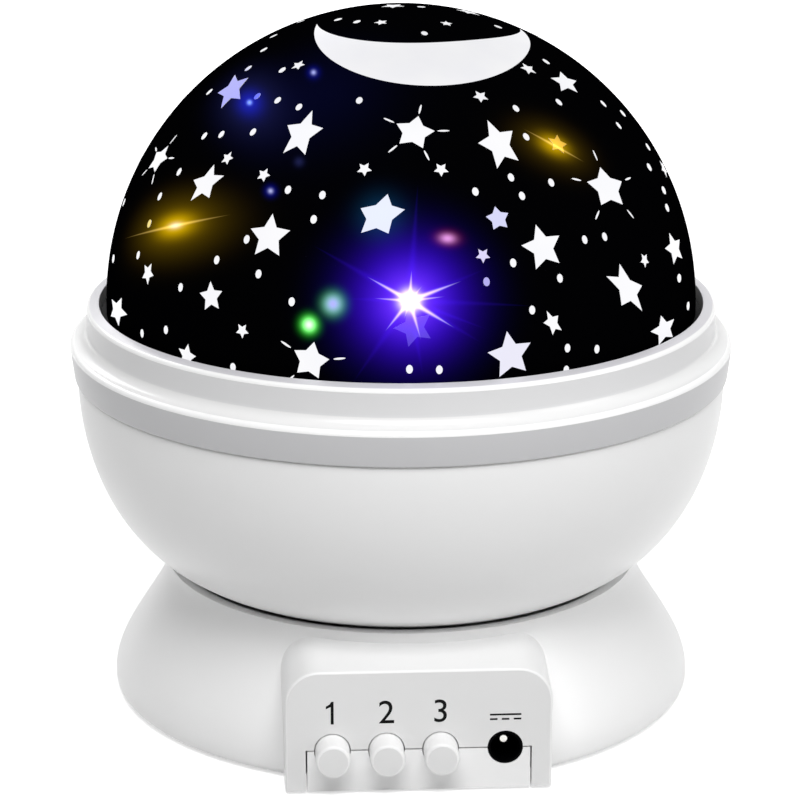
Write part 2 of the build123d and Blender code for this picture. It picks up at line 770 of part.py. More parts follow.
with BuildPart() as jack_housing:
    with BuildSketch(on_panel(wall + face_gap)):
        with Locations((jack_place, control_height)):
            Rectangle(jack_width, jack_height)
    extrude(amount=wall + face_gap - board_depth)
    with BuildSketch(on_panel(wall + face_gap)):
        with Locations((jack_place, control_height)):
            Circle(jack_snout_radius)
    extrude(amount=wall + face_gap)
    with BuildSketch(on_panel(0)):
        with Locations((jack_place, control_height)):
            Circle(jack_bore_radius)
    extrude(amount=-jack_bore_depth, mode=Mode.SUBTRACT)
    with BuildSketch(on_panel(jack_bore_depth)):
        with Locations((jack_place, control_height)):
            Circle(jack_tail_radius)
    extrude(amount=-jack_tail, mode=Mode.SUBTRACT)
jack_housing.part.label = "jack_housing"
export_step(jack_housing.part, "parts/jack_housing.step")

with BuildPart() as jack_pin:
    with BuildSketch(on_panel(jack_pin_recess)):
        with Locations((jack_place, control_height)):
            Circle(jack_pin_radius)
    extrude(amount=jack_pin_recess - jack_bore_depth)
    fillet(faces().sort_by(Axis.Y)[0].edges(), jack_pin_round)
    with BuildSketch(on_panel(jack_bore_depth)):
        with Locations((jack_place, control_height)):
            Circle(jack_tail_radius)
    extrude(amount=-jack_tail)
jack_pin.part.label = "jack_pin"
export_step(jack_pin.part, "parts/jack_pin.step")

# ---------------------------------------------------------------- gear motor and gears
with BuildPart() as gear_motor:
    with BuildSketch(Plane.XY.offset(deck_under - motor_height)):
        with Locations((0, motor_y)):
            Circle(motor_radius)
    extrude(amount=motor_height)
    fillet(faces().sort_by(Axis.Z)[0].edges(), motor_round)
    with BuildSketch(Plane.XY.offset(deck_under)):
        with Locations((0, motor_y)):
            SlotCenterToCenter(2 * motor_ear, motor_ear_width)
    extrude(amount=-motor_ear_thickness)
    with BuildSketch(Plane.XY.offset(deck_under)):
        with Locations((terminal_x, terminal_front)):
            Rectangle(*terminal_size[:2], align=(Align.CENTER, Align.MIN))
    extrude(amount=-terminal_size[2])
    with BuildSketch(Plane.XY.offset(deck_under)):
        with Locations((0, motor_y)):
            Circle(motor_shaft_radius + running_gap)
    extrude(amount=-shaft_seat - face_gap, mode=Mode.SUBTRACT)
    with BuildSketch(Plane.XY.offset(deck_under)):
        with Locations((0, motor_y)):
            with GridLocations(2 * motor_ear, 0, 2, 1):
                Circle(motor_screw_radius)
    extrude(amount=-motor_ear_thickness, mode=Mode.SUBTRACT)
gear_motor.part.label = "gear_motor"
export_step(gear_motor.part, "parts/gear_motor.step")

motor_screws = screw_group([(-motor_ear, motor_y), (motor_ear, motor_y)], deck_under - motor_ear_thickness,
                           1, motor_head_radius, small_head_height, motor_screw_radius,
                           motor_ear_thickness + deck_thickness)
motor_screws.label = "motor_screws"
export_step(motor_screws, "parts/motor_screws.step")

pinion_z = deck_z + pinion_lift
with BuildPart() as motor_shaft:
    with BuildSketch(Plane.XY.offset(deck_under - shaft_seat)):
        with Locations((0, motor_y)):
            Circle(motor_shaft_radius)
    extrude(amount=pinion_z + pinion_face - deck_under + shaft_seat)
motor_shaft.part.label = "motor_shaft"
export_step(motor_shaft.part, "parts/motor_shaft.step")

pinion_root = gear_module * (pinion_teeth / 2 - dedendum)
with BuildPart() as drive_pinion:
    with BuildSketch(Plane.XY.offset(pinion_z)):
        with Locations((0, motor_y)):
            Circle(pinion_root)
            Circle(motor_shaft_radius, mode=Mode.SUBTRACT)
            # half a tooth off the line of centres, so that a gap faces the bowl's gear
            with PolarLocations(0, pinion_teeth, start_angle=-90 + 180 / pinion_teeth):
                Polygon(*tooth_outline(pinion_teeth, pinion_addendum), align=None)
    extrude(amount=pinion_face)
drive_pinion.part.label = "drive_pinion"
export_step(drive_pinion.part, "parts/drive_pinion.step")

gear_root = gear_module * (bowl_teeth / 2 - dedendum)
gear_bore = gear_root - bowl_gear_rim
gear_screw_circle = gear_bore + bowl_gear_rim / 2
with BuildPart() as bowl_gear:
    with BuildSketch(Plane.XY.offset(bowl_z - bowl_gear_face)):
        Circle(gear_root)
        Circle(gear_bore, mode=Mode.SUBTRACT)
        with PolarLocations(0, bowl_teeth, start_angle=90):
            Polygon(*tooth_outline(bowl_teeth, bowl_addendum), align=None)
        with PolarLocations(gear_screw_circle, 3, start_angle=30):
            Circle(gear_screw_radius, mode=Mode.SUBTRACT)
    extrude(amount=bowl_gear_face)
bowl_gear.part.label = "bowl_gear"
export_step(bowl_gear.part, "parts/bowl_gear.step")

gear_screw_places = [(gear_screw_circle * cos(radians(a)), gear_screw_circle * sin(radians(a)))
                     for a in (30, 150, 270)]
gear_screws = screw_group(gear_screw_places, bowl_floor, -1, small_head_radius, small_head_height,
                          gear_screw_radius, wall + gear_screw_share * bowl_gear_face)
gear_screws.label = "gear_screws"
export_step(gear_screws, "parts/gear_screws.step")

# ---------------------------------------------------------------- spindle and its bearing
clip_z = hub_top + face_gap
groove_radius = spindle_radius - clip_groove
with BuildPart() as spindle:
    with BuildSketch(Plane.XY.offset(deck_z)):
        Circle(spindle_flange)
    extrude(amount=spindle_flange_thickness)
    with BuildSketch(Plane.XY.offset(flange_z)):
        Circle(spindle_radius)
    extrude(amount=light_z - flange_z)
    with BuildSketch(Plane.XY.offset(clip_z)):
        Circle(spindle_radius + clip_groove)
        Circle(groove_radius, mode=Mode.SUBTRACT)
    extrude(amount=clip_thickness, mode=Mode.SUBTRACT)
    with BuildSketch(Plane.XY.offset(deck_z)):
        Circle(spindle_bore)
    extrude(amount=light_z - deck_z, mode=Mode.SUBTRACT)
    with BuildSketch(Plane.XY.offset(deck_z)):
        with PolarLocations(spindle_screw_circle, 3, start_angle=60):
            Circle(spindle_screw_radius)
    extrude(amount=spindle_flange_thickness - spindle_screw_cap, mode=Mode.SUBTRACT)
spindle.part.label = "spindle"
export_step(spindle.part, "parts/spindle.step")

spindle_screw_places = [(spindle_screw_circle * cos(radians(a)), spindle_screw_circle * sin(radians(a)))
                        for a in (60, 180, 300)]
spindle_screws = screw_group(spindle_screw_places, deck_under, 1, small_head_radius, small_head_height,
                             spindle_screw_radius,
                             deck_thickness + spindle_flange_thickness - spindle_screw_cap)
spindle_screws.label = "spindle_screws"
export_step(spindle_screws, "parts/spindle_screws.step")

hub_radius = spindle_radius + running_gap + hub_wall
with BuildPart() as thrust_washer:
    with BuildSketch(Plane.XY.offset(flange_z)):
        Circle(hub_radius + washer_lap)
        Circle(spindle_radius, mode=Mode.SUBTRACT)
    extrude(amount=washer_thickness)
thrust_washer.part.label = "thrust_washer"
export_step(thrust_washer.part, "parts/thrust_washer.step")

with BuildPart() as retaining_clip:
    with BuildSketch(Plane.XY.offset(clip_z)):
        Circle(hub_radius - clip_step)
        Circle(groove_radius, mode=Mode.SUBTRACT)
        with Locations((0, -hub_radius)):
            Rectangle(1.3 * groove_radius, 2 * hub_radius, mode=Mode.SUBTRACT)
    extrude(amount=clip_thickness)
retaining_clip.part.label = "retaining_clip"
export_step(retaining_clip.part, "parts/retaining_clip.step")

# ---------------------------------------------------------------- bowl and trim ring
spigot_outer = bowl_radius - spigot_step
spigot_inner = spigot_outer - spigot_wall
shelf_inner = spigot_inner - shelf_width
rib_end = bowl_flat + rib_reach

with BuildPart() as bowl_shell:
    outer_curve = bowl_handles(0)
    inner_curve = bowl_handles(wall)
    with BuildSketch(Plane.XZ):
        with BuildLine():
            Line((0, bowl_z), outer_curve[0])
            Bezier(*outer_curve)
            Polyline(outer_curve[3], (spigot_outer, bowl_rim), (spigot_outer, spigot_top),
                     (spigot_inner, spigot_top), (spigot_inner, dish_z), (shelf_inner, dish_z),
                     (shelf_inner, dish_z - shelf_thickness), inner_curve[3])
            Bezier(*inner_curve)
            Polyline(inner_curve[0], (0, bowl_floor), (0, bowl_z))
        make_face()
    revolve(axis=Axis.Z)
    # hub that turns on the spindle, braced by ribs
    with BuildSketch(Plane.XY.offset(hub_z)):
        Circle(hub_radius)
    extrude(amount=hub_top - hub_z)
    for rib in range(bowl_ribs):
        angle = 2 * pi * rib / bowl_ribs
        outward = (cos(angle), sin(angle), 0)
        across = (sin(angle), -cos(angle), 0)
        with BuildSketch(Plane((0, 0, 0), x_dir=outward, z_dir=across)):
            Polygon((hub_radius - rib_sink, bowl_floor - rib_sink), (rib_end, bowl_floor - rib_sink),
                    (rib_end, bowl_floor + rib_low), (hub_radius - rib_sink, bowl_floor + rib_high),
                    align=None)
        extrude(amount=rib_thickness / 2, both=True)
    with BuildSketch(Plane.XY.offset(hub_z)):
        Circle(spindle_radius + running_gap)
        with PolarLocations(gear_screw_circle, 3, start_angle=30):
            Circle(gear_screw_radius)
    extrude(amount=hub_top - hub_z, mode=Mode.SUBTRACT)
bowl_shell.part.label = "bowl_shell"
export_step(bowl_shell.part, "parts/bowl_shell.step")

band_foot = ring_radius - ring_band_low
skirt_inner = spigot_outer + ring_spigot_play
cove_z = shoulder_z + ring_shoulder_round
ring_seat_inner = spigot_inner - ring_seat_lap
ledge_inner = lens_radius - lens_wall + ring_ledge_reveal

with BuildPart() as trim_ring:
    with BuildSketch(Plane.XZ):
        with BuildLine():
            Line((skirt_inner, ring_bottom), (band_foot, ring_bottom))
            Line((band_foot, ring_bottom), (ring_radius, shoulder_z))
            TangentArc((ring_radius, shoulder_z), (ring_radius - ring_shoulder_round, cove_z), tangent=(0, 1))
            Line((ring_radius - ring_shoulder_round, cove_z), (ring_lip_outer + ring_cove, cove_z))
            TangentArc((ring_lip_outer + ring_cove, cove_z), (ring_lip_outer, cove_z + ring_cove),
                       tangent=(-1, 0))
            Polyline((ring_lip_outer, cove_z + ring_cove), (ring_lip_outer, lip_z),
                     (ring_lip_inner, lip_z + ring_lip_slope), (ring_lip_inner, ledge_z),
                     (ledge_inner, ledge_z), (ledge_inner, dish_top), (ring_seat_inner, dish_top),
                     (ring_seat_inner, spigot_top), (skirt_inner, spigot_top), (skirt_inner, ring_bottom))
        make_face()
        fillet(vertices().sort_by(Axis.Y)[-2], ring_lip_round)
    revolve(axis=Axis.Z)
trim_ring.part.label = "trim_ring"
export_step(trim_ring.part, "parts/trim_ring.step")

# ---------------------------------------------------------------- reflector dish and light
dish_outer = ring_seat_inner - dish_play
dish_inner = dish_outer - dish_flange
dish_low = dish_z - dish_depth
dish_hole = light_radius + dish_gap
with BuildPart() as reflector_dish:
    with BuildSketch(Plane.XZ):
        with BuildLine():
            middle = (dish_inner + dish_hole) / 2
            sag = (dish_z + dish_low) / 2 - dish_bulge * dish_depth
            Polyline((dish_inner, dish_z), (dish_outer, dish_z), (dish_outer, dish_top),
                     (dish_inner, dish_top))
            ThreePointArc((dish_inner, dish_top), (middle, sag + dish_wall),
                          (dish_hole, dish_low + dish_wall))
            Line((dish_hole, dish_low + dish_wall), (dish_hole, dish_low))
            ThreePointArc((dish_hole, dish_low), (middle, sag), (dish_inner, dish_z))
        make_face()
    revolve(axis=Axis.Z)
reflector_dish.part.label = "reflector_dish"
export_step(reflector_dish.part, "parts/reflector_dish.step")

with BuildPart() as light_holder:
    with BuildSketch(Plane.XY.offset(light_z)):
        Circle(light_radius)
    extrude(amount=light_plate)
    with BuildSketch(Plane.XY.offset(light_z - light_collar)):
        Circle(hub_radius)
        Circle(spindle_radius + light_collar_play, mode=Mode.SUBTRACT)
    extrude(amount=light_collar)
    with BuildSketch(Plane.XY.offset(light_z)):
        Circle(spindle_bore - lead_hole_step)
    extrude(amount=light_plate, mode=Mode.SUBTRACT)
light_holder.part.label = "light_holder"
export_step(light_holder.part, "parts/light_holder.step")

with BuildPart() as light_board:
    with BuildSketch(Plane.XY.offset(light_board_z)):
        Circle(light_radius - light_board_step)
    extrude(amount=light_board_thickness)
light_board.part.label = "light_board"
export_step(light_board.part, "parts/light_board.step")

led_z = light_board_z + light_board_thickness
led_names = ["led_red", "led_green", "led_blue", "led_warm"]
for number, led_name in enumerate(led_names):
    turn = radians(45 + 90 * number)
    led_seat = Plane((led_circle * cos(turn), led_circle * sin(turn), led_z))
    with BuildPart() as led:
        with BuildSketch(led_seat):
            Circle(led_radius + led_rim)
        extrude(amount=led_rim_height)
        with BuildSketch(led_seat):
            Circle(led_radius)
        extrude(amount=led_height)
        fillet(faces().sort_by(Axis.Z)[-1].edges(), 0.9 * led_radius)
    led.part.label = led_name
    export_step(led.part, f"parts/{led_name}.step")

# ---------------------------------------------------------------- dome
lens_flange = ring_lip_inner - lens_flange_gap


def dome_section(outer, inner, foot, flange):
    """Half section of a domed shell with a straight skirt down to foot, and a flange if flange > 0."""
    with BuildSketch(Plane.XZ) as section:
        with BuildLine():
            if flange:
                Polyline((inner, foot), (flange, foot), (flange, flange_top), (outer, flange_top),
                         (outer, dome_z))
            else:
                Polyline((inner, foot), (outer, foot), (outer, dome_z))
            CenterArc((0, dome_z), outer, 0, 90)
            Line((0, dome_z + outer), (0, dome_z + inner))
            CenterArc((0, dome_z), inner, 0, 90)
            Line((inner, dome_z), (inner, foot))
        make_face()
    return section.sketch


with BuildPart() as dome_lens:
    add(dome_section(lens_radius, lens_radius - lens_wall, ledge_z, lens_flange))
    revolve(axis=Axis.Z)
dome_lens.part.label = "dome_lens"
export_step(dome_lens.part, "parts/dome_lens.step")

# Clear stars left in the black film: azimuth from the front towards +X and elevation, in
# degrees, then radius in mm and turn of the star in degrees. Set by hand for an even scatter.
front_stars = [
    (-74, 33, 3.1, -6), (-71, 4, 3.7, -10), (-62, 51, 4.0, 0), (-60, 13, 2.1, 0), (-50, 33, 3.6, 2),
    (-47, 38, 1.2, 0), (-46, 61, 1.5, 20), (-46, 1, 2.9, -12), (-40, 13, 3.0, 9), (-35, 36, 1.3, 15),
    (-33, 8, 1.3, 0), (-30, 25, 4.3, 4), (-29, 45, 5.2, 2), (-19, 4, 3.7, -8), (-11, 39, 1.3, 12),
    (-7, 30, 4.3, -14), (0, 47, 3.8, -11), (0, 9, 2.9, 15), (6, 39, 1.2, -18), (13, 23, 1.3, -20),
    (17, 29, 2.2, -10), (17, 5, 4.4, 5), (22, 43, 4.7, 9), (22, 54, 1.6, -20), (25, 23, 4.2, 5),
    (26, 9, 2.6, 30), (38, 42, 2.1, -30), (44, 13, 4.6, 6), (47, 31, 3.8, -10), (49, 59, 2.3, -40),
    (52, 16, 1.3, -30), (55, 2, 3.8, 18), (59, 53, 3.6, -40), (65, 16, 3.3, 13), (82, 28, 1.5, 0),
]
crown_stars = [(-23, 79, 1.5, -20), (38, 77, 1.4, -30)]
star_waist = 0.46             # inner corners of a star over its points
# Crescent at the crown: tilt and azimuth of each circle's axis, and the circle's half angle
moon_outer = (10.0, 24.0, 21.8)
moon_inner = (2.5, 65.0, 18.8)


def film_plane(azimuth, elevation):
    """Plane just inside the film, square to the dome, with its y towards the crown."""
    a, e = radians(azimuth), radians(elevation)
    out = (cos(e) * sin(a), -cos(e) * cos(a), sin(e))
    depth = dome_radius - 3 * film_thickness
    centre = (out[0] * depth, out[1] * depth, out[2] * depth + dome_z)
    return Plane(centre, x_dir=(cos(a), sin(a), 0), z_dir=out)


def star_points(radius, turn):
    """Ten corners of a five-pointed star with one point towards +y when turn is 0."""
    corners = []
    for corner in range(10):
        reach = radius if corner % 2 == 0 else star_waist * radius
        angle = radians(90 + turn + 36 * corner)
        corners.append((reach * cos(angle), reach * sin(angle)))
    return corners


with BuildPart() as moon_cutter:
    for (tilt, azimuth, half), mode in ((moon_outer, Mode.ADD), (moon_inner, Mode.SUBTRACT)):
        with BuildSketch(film_plane(azimuth, 90 - tilt).offset(-0.4 * dome_radius)):
            Circle(dome_radius * sin(radians(half)))
        extrude(amount=0.6 * dome_radius, mode=mode)

all_stars = crown_stars + [(azimuth + half_turn, elevation, radius, turn) for half_turn in (0, 180)
                           for azimuth, elevation, radius, turn in front_stars]
with BuildPart() as star_film:
    add(dome_section(dome_radius, lens_radius, flange_top, 0))
    revolve(axis=Axis.Z)
    add(moon_cutter.part, mode=Mode.SUBTRACT)
    for azimuth, elevation, radius, turn in all_stars:
        with BuildSketch(film_plane(azimuth, elevation)):
            Polygon(*star_points(radius, turn), align=None)
    extrude(amount=4 * film_thickness, mode=Mode.SUBTRACT)
star_film.part.label = "star_film"
export_step(star_film.part, "parts/star_film.step")
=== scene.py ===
# Star night light projector: skins, finishes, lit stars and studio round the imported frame.
import json
from math import asin, atan2, cos, pi, radians, sin, sqrt, tan

import bmesh
import bpy
from mathutils import Matrix, Vector


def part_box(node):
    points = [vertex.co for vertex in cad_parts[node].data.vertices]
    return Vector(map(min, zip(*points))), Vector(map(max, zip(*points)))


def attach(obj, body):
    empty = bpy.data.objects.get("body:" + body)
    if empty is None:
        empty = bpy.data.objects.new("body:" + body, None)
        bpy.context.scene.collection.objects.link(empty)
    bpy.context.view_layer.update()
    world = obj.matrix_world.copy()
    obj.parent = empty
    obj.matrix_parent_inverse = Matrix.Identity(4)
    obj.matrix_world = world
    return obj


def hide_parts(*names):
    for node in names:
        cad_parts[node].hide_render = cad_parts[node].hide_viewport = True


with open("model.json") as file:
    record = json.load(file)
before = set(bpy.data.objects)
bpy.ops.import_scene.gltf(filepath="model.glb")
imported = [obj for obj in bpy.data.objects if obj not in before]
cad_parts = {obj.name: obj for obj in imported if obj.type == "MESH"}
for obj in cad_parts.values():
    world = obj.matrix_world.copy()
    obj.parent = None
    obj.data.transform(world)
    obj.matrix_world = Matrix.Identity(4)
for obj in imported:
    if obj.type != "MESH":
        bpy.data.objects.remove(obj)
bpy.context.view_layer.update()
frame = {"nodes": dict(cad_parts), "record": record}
nodes = frame["nodes"]
mm = 0.001
onAxis = 1e-6                                         # mm: a point nearer the axis turns into one corner
merge = {"copied": 0.002, "window": 0.001}            # mm: corners nearer each other become one
crease = {"turned": 30, "copied": 28, "window": 40}   # degrees: an edge sharper than this stays sharp
print("frame loaded,", len(nodes), "nodes")


# small tools used by every piece
def linearColour(hexText):
    # sRGB hex to the linear red, green, blue and alpha that sockets take
    channels = []
    for start in (1, 3, 5):
        value = int(hexText[start:start + 2], 16) / 255
        channels.append(value / 12.92 if value <= 0.04045 else ((value + 0.055) / 1.055) ** 2.4)
    return (*channels, 1.0)


def addNode(tree, kind, inputs=None, **settings):
    # adds a node: an input that is given a socket is linked to it, any other takes the value
    node = tree.nodes.new(kind)
    for name, value in settings.items():
        setattr(node, name, value)
    for socket, value in (inputs or {}).items():
        if isinstance(value, bpy.types.NodeSocket):
            tree.links.new(value, node.inputs[socket])
        else:
            node.inputs[socket].default_value = value
    return node


def newFinish(name, sockets):
    # a new material with sockets of its shader set, and the place on the piece that its patterns start from
    material = bpy.data.materials.new(name)
    material.use_nodes = True
    tree = material.node_tree
    shader = tree.nodes["Principled BSDF"]
    for socket, value in sockets.items():
        shader.inputs[socket].default_value = value
    place = addNode(tree, "ShaderNodeTexCoord").outputs["Object"]
    return material, tree, shader, place


def unevenGloss(tree, shader, place, cloudMm, low, high, detail=2.0):
    # roughness drifts between low and high over clouds of one size
    clouds = addNode(tree, "ShaderNodeTexNoise",
                     {"Vector": place, "Scale": 1 / (cloudMm * mm), "Detail": detail})
    drift = addNode(tree, "ShaderNodeMapRange", {"Value": clouds.outputs["Fac"], "From Min": 0.3,
                                                 "From Max": 0.7, "To Min": low, "To Max": high})
    tree.links.new(drift.outputs["Result"], shader.inputs["Roughness"])


def fineRelief(tree, shader, place, grainMm, depthMm, detail=2.0):
    # grains of one size stand out of the surface by a depth
    grain = addNode(tree, "ShaderNodeTexNoise",
                    {"Vector": place, "Scale": 1 / (grainMm * mm), "Detail": detail})
    bump = addNode(tree, "ShaderNodeBump", {"Strength": 1.0, "Distance": depthMm * mm,
                                            "Height": grain.outputs["Fac"]})
    tree.links.new(bump.outputs["Normal"], shader.inputs["Normal"])


def cloudedColour(tree, place, cloudMm, first, second):
    # colour drifts between two near shades over clouds of one size
    clouds = addNode(tree, "ShaderNodeTexNoise",
                     {"Vector": place, "Scale": 1 / (cloudMm * mm), "Detail": 2.0})
    return addNode(tree, "ShaderNodeMix", {"Factor": clouds.outputs["Fac"], "A": linearColour(first),
                                           "B": linearColour(second)}, data_type="RGBA").outputs["Result"]


def meshPiece(name, vertices, faces, materials):
    # a piece at the origin with its place in its mesh, in metres
    mesh = bpy.data.meshes.new(name)
    mesh.from_pydata(vertices, [], faces)
    piece = bpy.data.objects.new(name, mesh)
    bpy.context.scene.collection.objects.link(piece)
    for material in materials:
        mesh.materials.append(material)
    smoothMesh(mesh, crease["turned"])
    return piece


def smoothMesh(mesh, angle):
    mesh.polygons.foreach_set("use_smooth", [True] * len(mesh.polygons))
    mesh.set_sharp_from_angle(angle=radians(angle))
    mesh.update()


def roundedProfile(corners, steps):
    # corners are (radius, height, edge round) in millimetres, in order round a closed half section
    points = []
    count = len(corners)
    for index, (r, z, edge) in enumerate(corners):
        here = Vector((r, z))
        if not edge:
            points.append(here)
            continue
        before = (Vector(corners[index - 1][:2]) - here).normalized()
        after = (Vector(corners[(index + 1) % count][:2]) - here).normalized()
        half = before.angle(after) / 2
        middle = here + (before + after).normalized() * (edge / sin(half))
        start = here + before * (edge / tan(half)) - middle
        finish = here + after * (edge / tan(half)) - middle
        for step in range(steps + 1):
            share = step / steps
            sweep = start.angle(finish)
            arm = (start * sin((1 - share) * sweep) + finish * sin(share * sweep)) / sin(sweep)
            points.append(middle + arm)
    return points


def curvePoints(handles, steps):
    # points along a cubic curve between its end handles, as corners without an edge round
    points = []
    for step in range(steps + 1):
        t = step / steps
        weights = ((1 - t) ** 3, 3 * t * (1 - t) ** 2, 3 * t * t * (1 - t), t ** 3)
        points.append((sum(w * h[0] for w, h in zip(weights, handles)),
                       sum(w * h[1] for w, h in zip(weights, handles)), 0))
    return points


def lathe(name, profile, materials, segments, bandOf=None):
    # turns a closed half section, millimetres, round the upright axis
    vertices, faces, rows = [], [], []
    for r, z in profile:
        if r < onAxis:
            rows.append([len(vertices)] * segments)
            vertices.append((0, 0, z * mm))
            continue
        rows.append(list(range(len(vertices), len(vertices) + segments)))
        for step in range(segments):
            angle = 2 * pi * step / segments
            vertices.append((r * cos(angle) * mm, r * sin(angle) * mm, z * mm))
    bands = []
    for index in range(len(profile)):
        lower, upper = rows[index], rows[(index + 1) % len(rows)]
        if lower[0] == lower[1] and upper[0] == upper[1]:
            continue
        for step in range(segments):
            ahead = (step + 1) % segments
            corners = [lower[step], lower[ahead], upper[ahead], upper[step]]
            faces.append([v for place, v in enumerate(corners) if v != corners[place - 1]])
            bands.append(bandOf(profile[index], profile[(index + 1) % len(profile)]) if bandOf else 0)
    piece = meshPiece(name, vertices, faces, materials)
    piece.data.polygons.foreach_set("material_index", bands)
    faceOutwards(piece.data)
    smoothMesh(piece.data, crease["turned"])
    return piece


# six faces of a block whose corners are listed as one side's four, then the opposite side's four
blockFaces = [(0, 1, 2, 3), (7, 6, 5, 4), (0, 4, 5, 1), (1, 5, 6, 2), (2, 6, 7, 3), (3, 7, 4, 0)]


def faceOutwards(mesh):
    work = bmesh.new()
    work.from_mesh(mesh)
    bmesh.ops.recalc_face_normals(work, faces=work.faces)
    work.to_mesh(mesh)
    work.free()


def smoothCopy(node, name, material):
    # merged copy of a frame node, shaded smooth, with the node's own edges kept sharp
    mesh = nodes[node].data.copy()
    mesh.name = name
    work = bmesh.new()
    work.from_mesh(mesh)
    bmesh.ops.remove_doubles(work, verts=work.verts, dist=merge["copied"] * mm)
    bmesh.ops.dissolve_degenerate(work, edges=work.edges, dist=merge["copied"] * mm)
    work.to_mesh(mesh)
    work.free()
    mesh.materials.clear()
    mesh.materials.append(material)
    if mesh.has_custom_normals:
        mesh.attributes.remove(mesh.attributes["custom_normal"])
    smoothMesh(mesh, crease["copied"])
    piece = bpy.data.objects.new(name, mesh)
    bpy.context.scene.collection.objects.link(piece)
    return piece


def seat(piece, body, slot, *replaced):
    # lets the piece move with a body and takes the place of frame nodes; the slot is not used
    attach(piece, body)
    if replaced:
        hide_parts(*replaced)


# camera a little above the lamp, looking slightly down at its front: millimetres and degrees
view = {"distance": 568.33, "height": 235.98, "turn": 3.2, "pitch": 72.574, "lens": 134.82,
        "shift": -0.00125}


def makeCamera():
    lens = bpy.data.cameras.new("camera")
    lens.lens = view["lens"]
    lens.shift_x = view["shift"]
    turn = radians(view["turn"])
    camera = bpy.data.objects.new("camera", lens)
    camera.location = (-view["distance"] * sin(turn) * mm, -view["distance"] * cos(turn) * mm,
                       view["height"] * mm)
    camera.rotation_euler = (radians(view["pitch"]), 0, -turn)
    bpy.context.scene.collection.objects.link(camera)
    bpy.context.scene.camera = camera


makeCamera()
print("camera placed")

# finishes
# the edge's pure white is a painted highlight; the wall, lip and face tones are darkened as painted shade,
# the band's grey partly so
plastic = {"white": "#F1F1F1", "ring": "#ECECEC", "edge": "#FFFFFF", "wall": "#DADADB", "band": "#C6C6C8",
           "lip": "#D8D7DC", "button": "#F3F3F3", "face": "#E4E4E4", "cream": "#EFECE2"}


def mouldedPlastic(name, colour, roughness, cloudMm=40.0, peelMm=1.2, peelDepthMm=0.0015):
    # faint clouding of the gloss and a shallow orange peel, as a polished mould leaves them
    material, tree, shader, place = newFinish(name, {"Base Color": linearColour(colour), "IOR": 1.53})
    unevenGloss(tree, shader, place, cloudMm, low=roughness * 0.9, high=roughness * 1.12)
    fineRelief(tree, shader, place, peelMm, peelDepthMm, detail=1.0)
    return material


# ABS from a polished mould: clean nursery white with a soft gloss, the ring a shade glossier
whiteAbs = mouldedPlastic("whiteGlossAbs", plastic["white"], 0.31)
ringAbs = mouldedPlastic("whiteRingAbs", plastic["ring"], 0.24)
edgeHighlightAbs = mouldedPlastic("paintedHighlightEdgeAbs", plastic["edge"], 0.15)     # corners that shine as white lines: their pure white is a painted highlight
bandGreyAndShadeAbs = mouldedPlastic("greyBandAndPaintedShade", plastic["band"], 0.31)       # the ring's band: grey, part greyer plastic and part painted shade
wallShadeAbs = mouldedPlastic("paintedShadeWallAbs", plastic["wall"], 0.32)        # its upright wall, darkened as painted shade
lipShadeAbs = mouldedPlastic("paintedShadeLipAbs", plastic["lip"], 0.31)           # its sloping lip, darkened and cooled as painted shade
# spark-eroded parts of the mould: small caps with a softer shine, the panel's face an even satin whose
# darker colour is painted shade
buttonAbs = mouldedPlastic("whiteButtonAbs", plastic["button"], 0.34, 8.0)
faceSatinShadeAbs = mouldedPlastic("satinPanelFacePaintedShade", plastic["face"], 0.42, 8.0)
# unfilled nylon gears and bearings: waxy and off-white
nylon = mouldedPlastic("naturalNylon", plastic["cream"], 0.45, 6.0, 0.6, 0.004)


def blackSocket():
    # black polycarbonate of the power socket, spark-eroded to a dull face, with a deep dark well
    material, tree, shader, place = newFinish("blackSocketPlastic", {"Base Color": linearColour("#010102"),
                                                                     "Specular IOR Level": 0.02})
    unevenGloss(tree, shader, place, cloudMm=0.5, low=0.35, high=0.45)
    return material


def platedSteel(name, colour, roughness):
    # bright plate over turned steel: its fine marks show as short streaks in the shine, drawn 0.8 mm wide,
    # coarser than real ones, so that they show
    material, tree, shader, place = newFinish(name, {"Base Color": linearColour(colour), "Metallic": 1.0})
    streaks = addNode(tree, "ShaderNodeMapping", {"Vector": place, "Scale": (1, 1, 6)}).outputs["Vector"]
    unevenGloss(tree, shader, streaks, cloudMm=0.8, low=roughness * 0.7, high=roughness * 1.4, detail=4.0)
    fineRelief(tree, shader, streaks, grainMm=0.8, depthMm=0.002, detail=4.0)
    return material


def footRubber():
    # grey EVA foam pad: matt, with open pores 0.45 mm apart and 0.05 mm deep
    material, tree, shader, place = newFinish("greyFoamRubber", {"Base Color": linearColour("#5C5D60"),
                                                                 "Roughness": 0.85})
    pores = addNode(tree, "ShaderNodeTexVoronoi", {"Vector": place, "Scale": 1 / (0.45 * mm)})
    bump = addNode(tree, "ShaderNodeBump", {"Strength": 1.0, "Distance": 0.05 * mm,
                                            "Height": pores.outputs["Distance"]})
    tree.links.new(bump.outputs["Normal"], shader.inputs["Normal"])
    return material


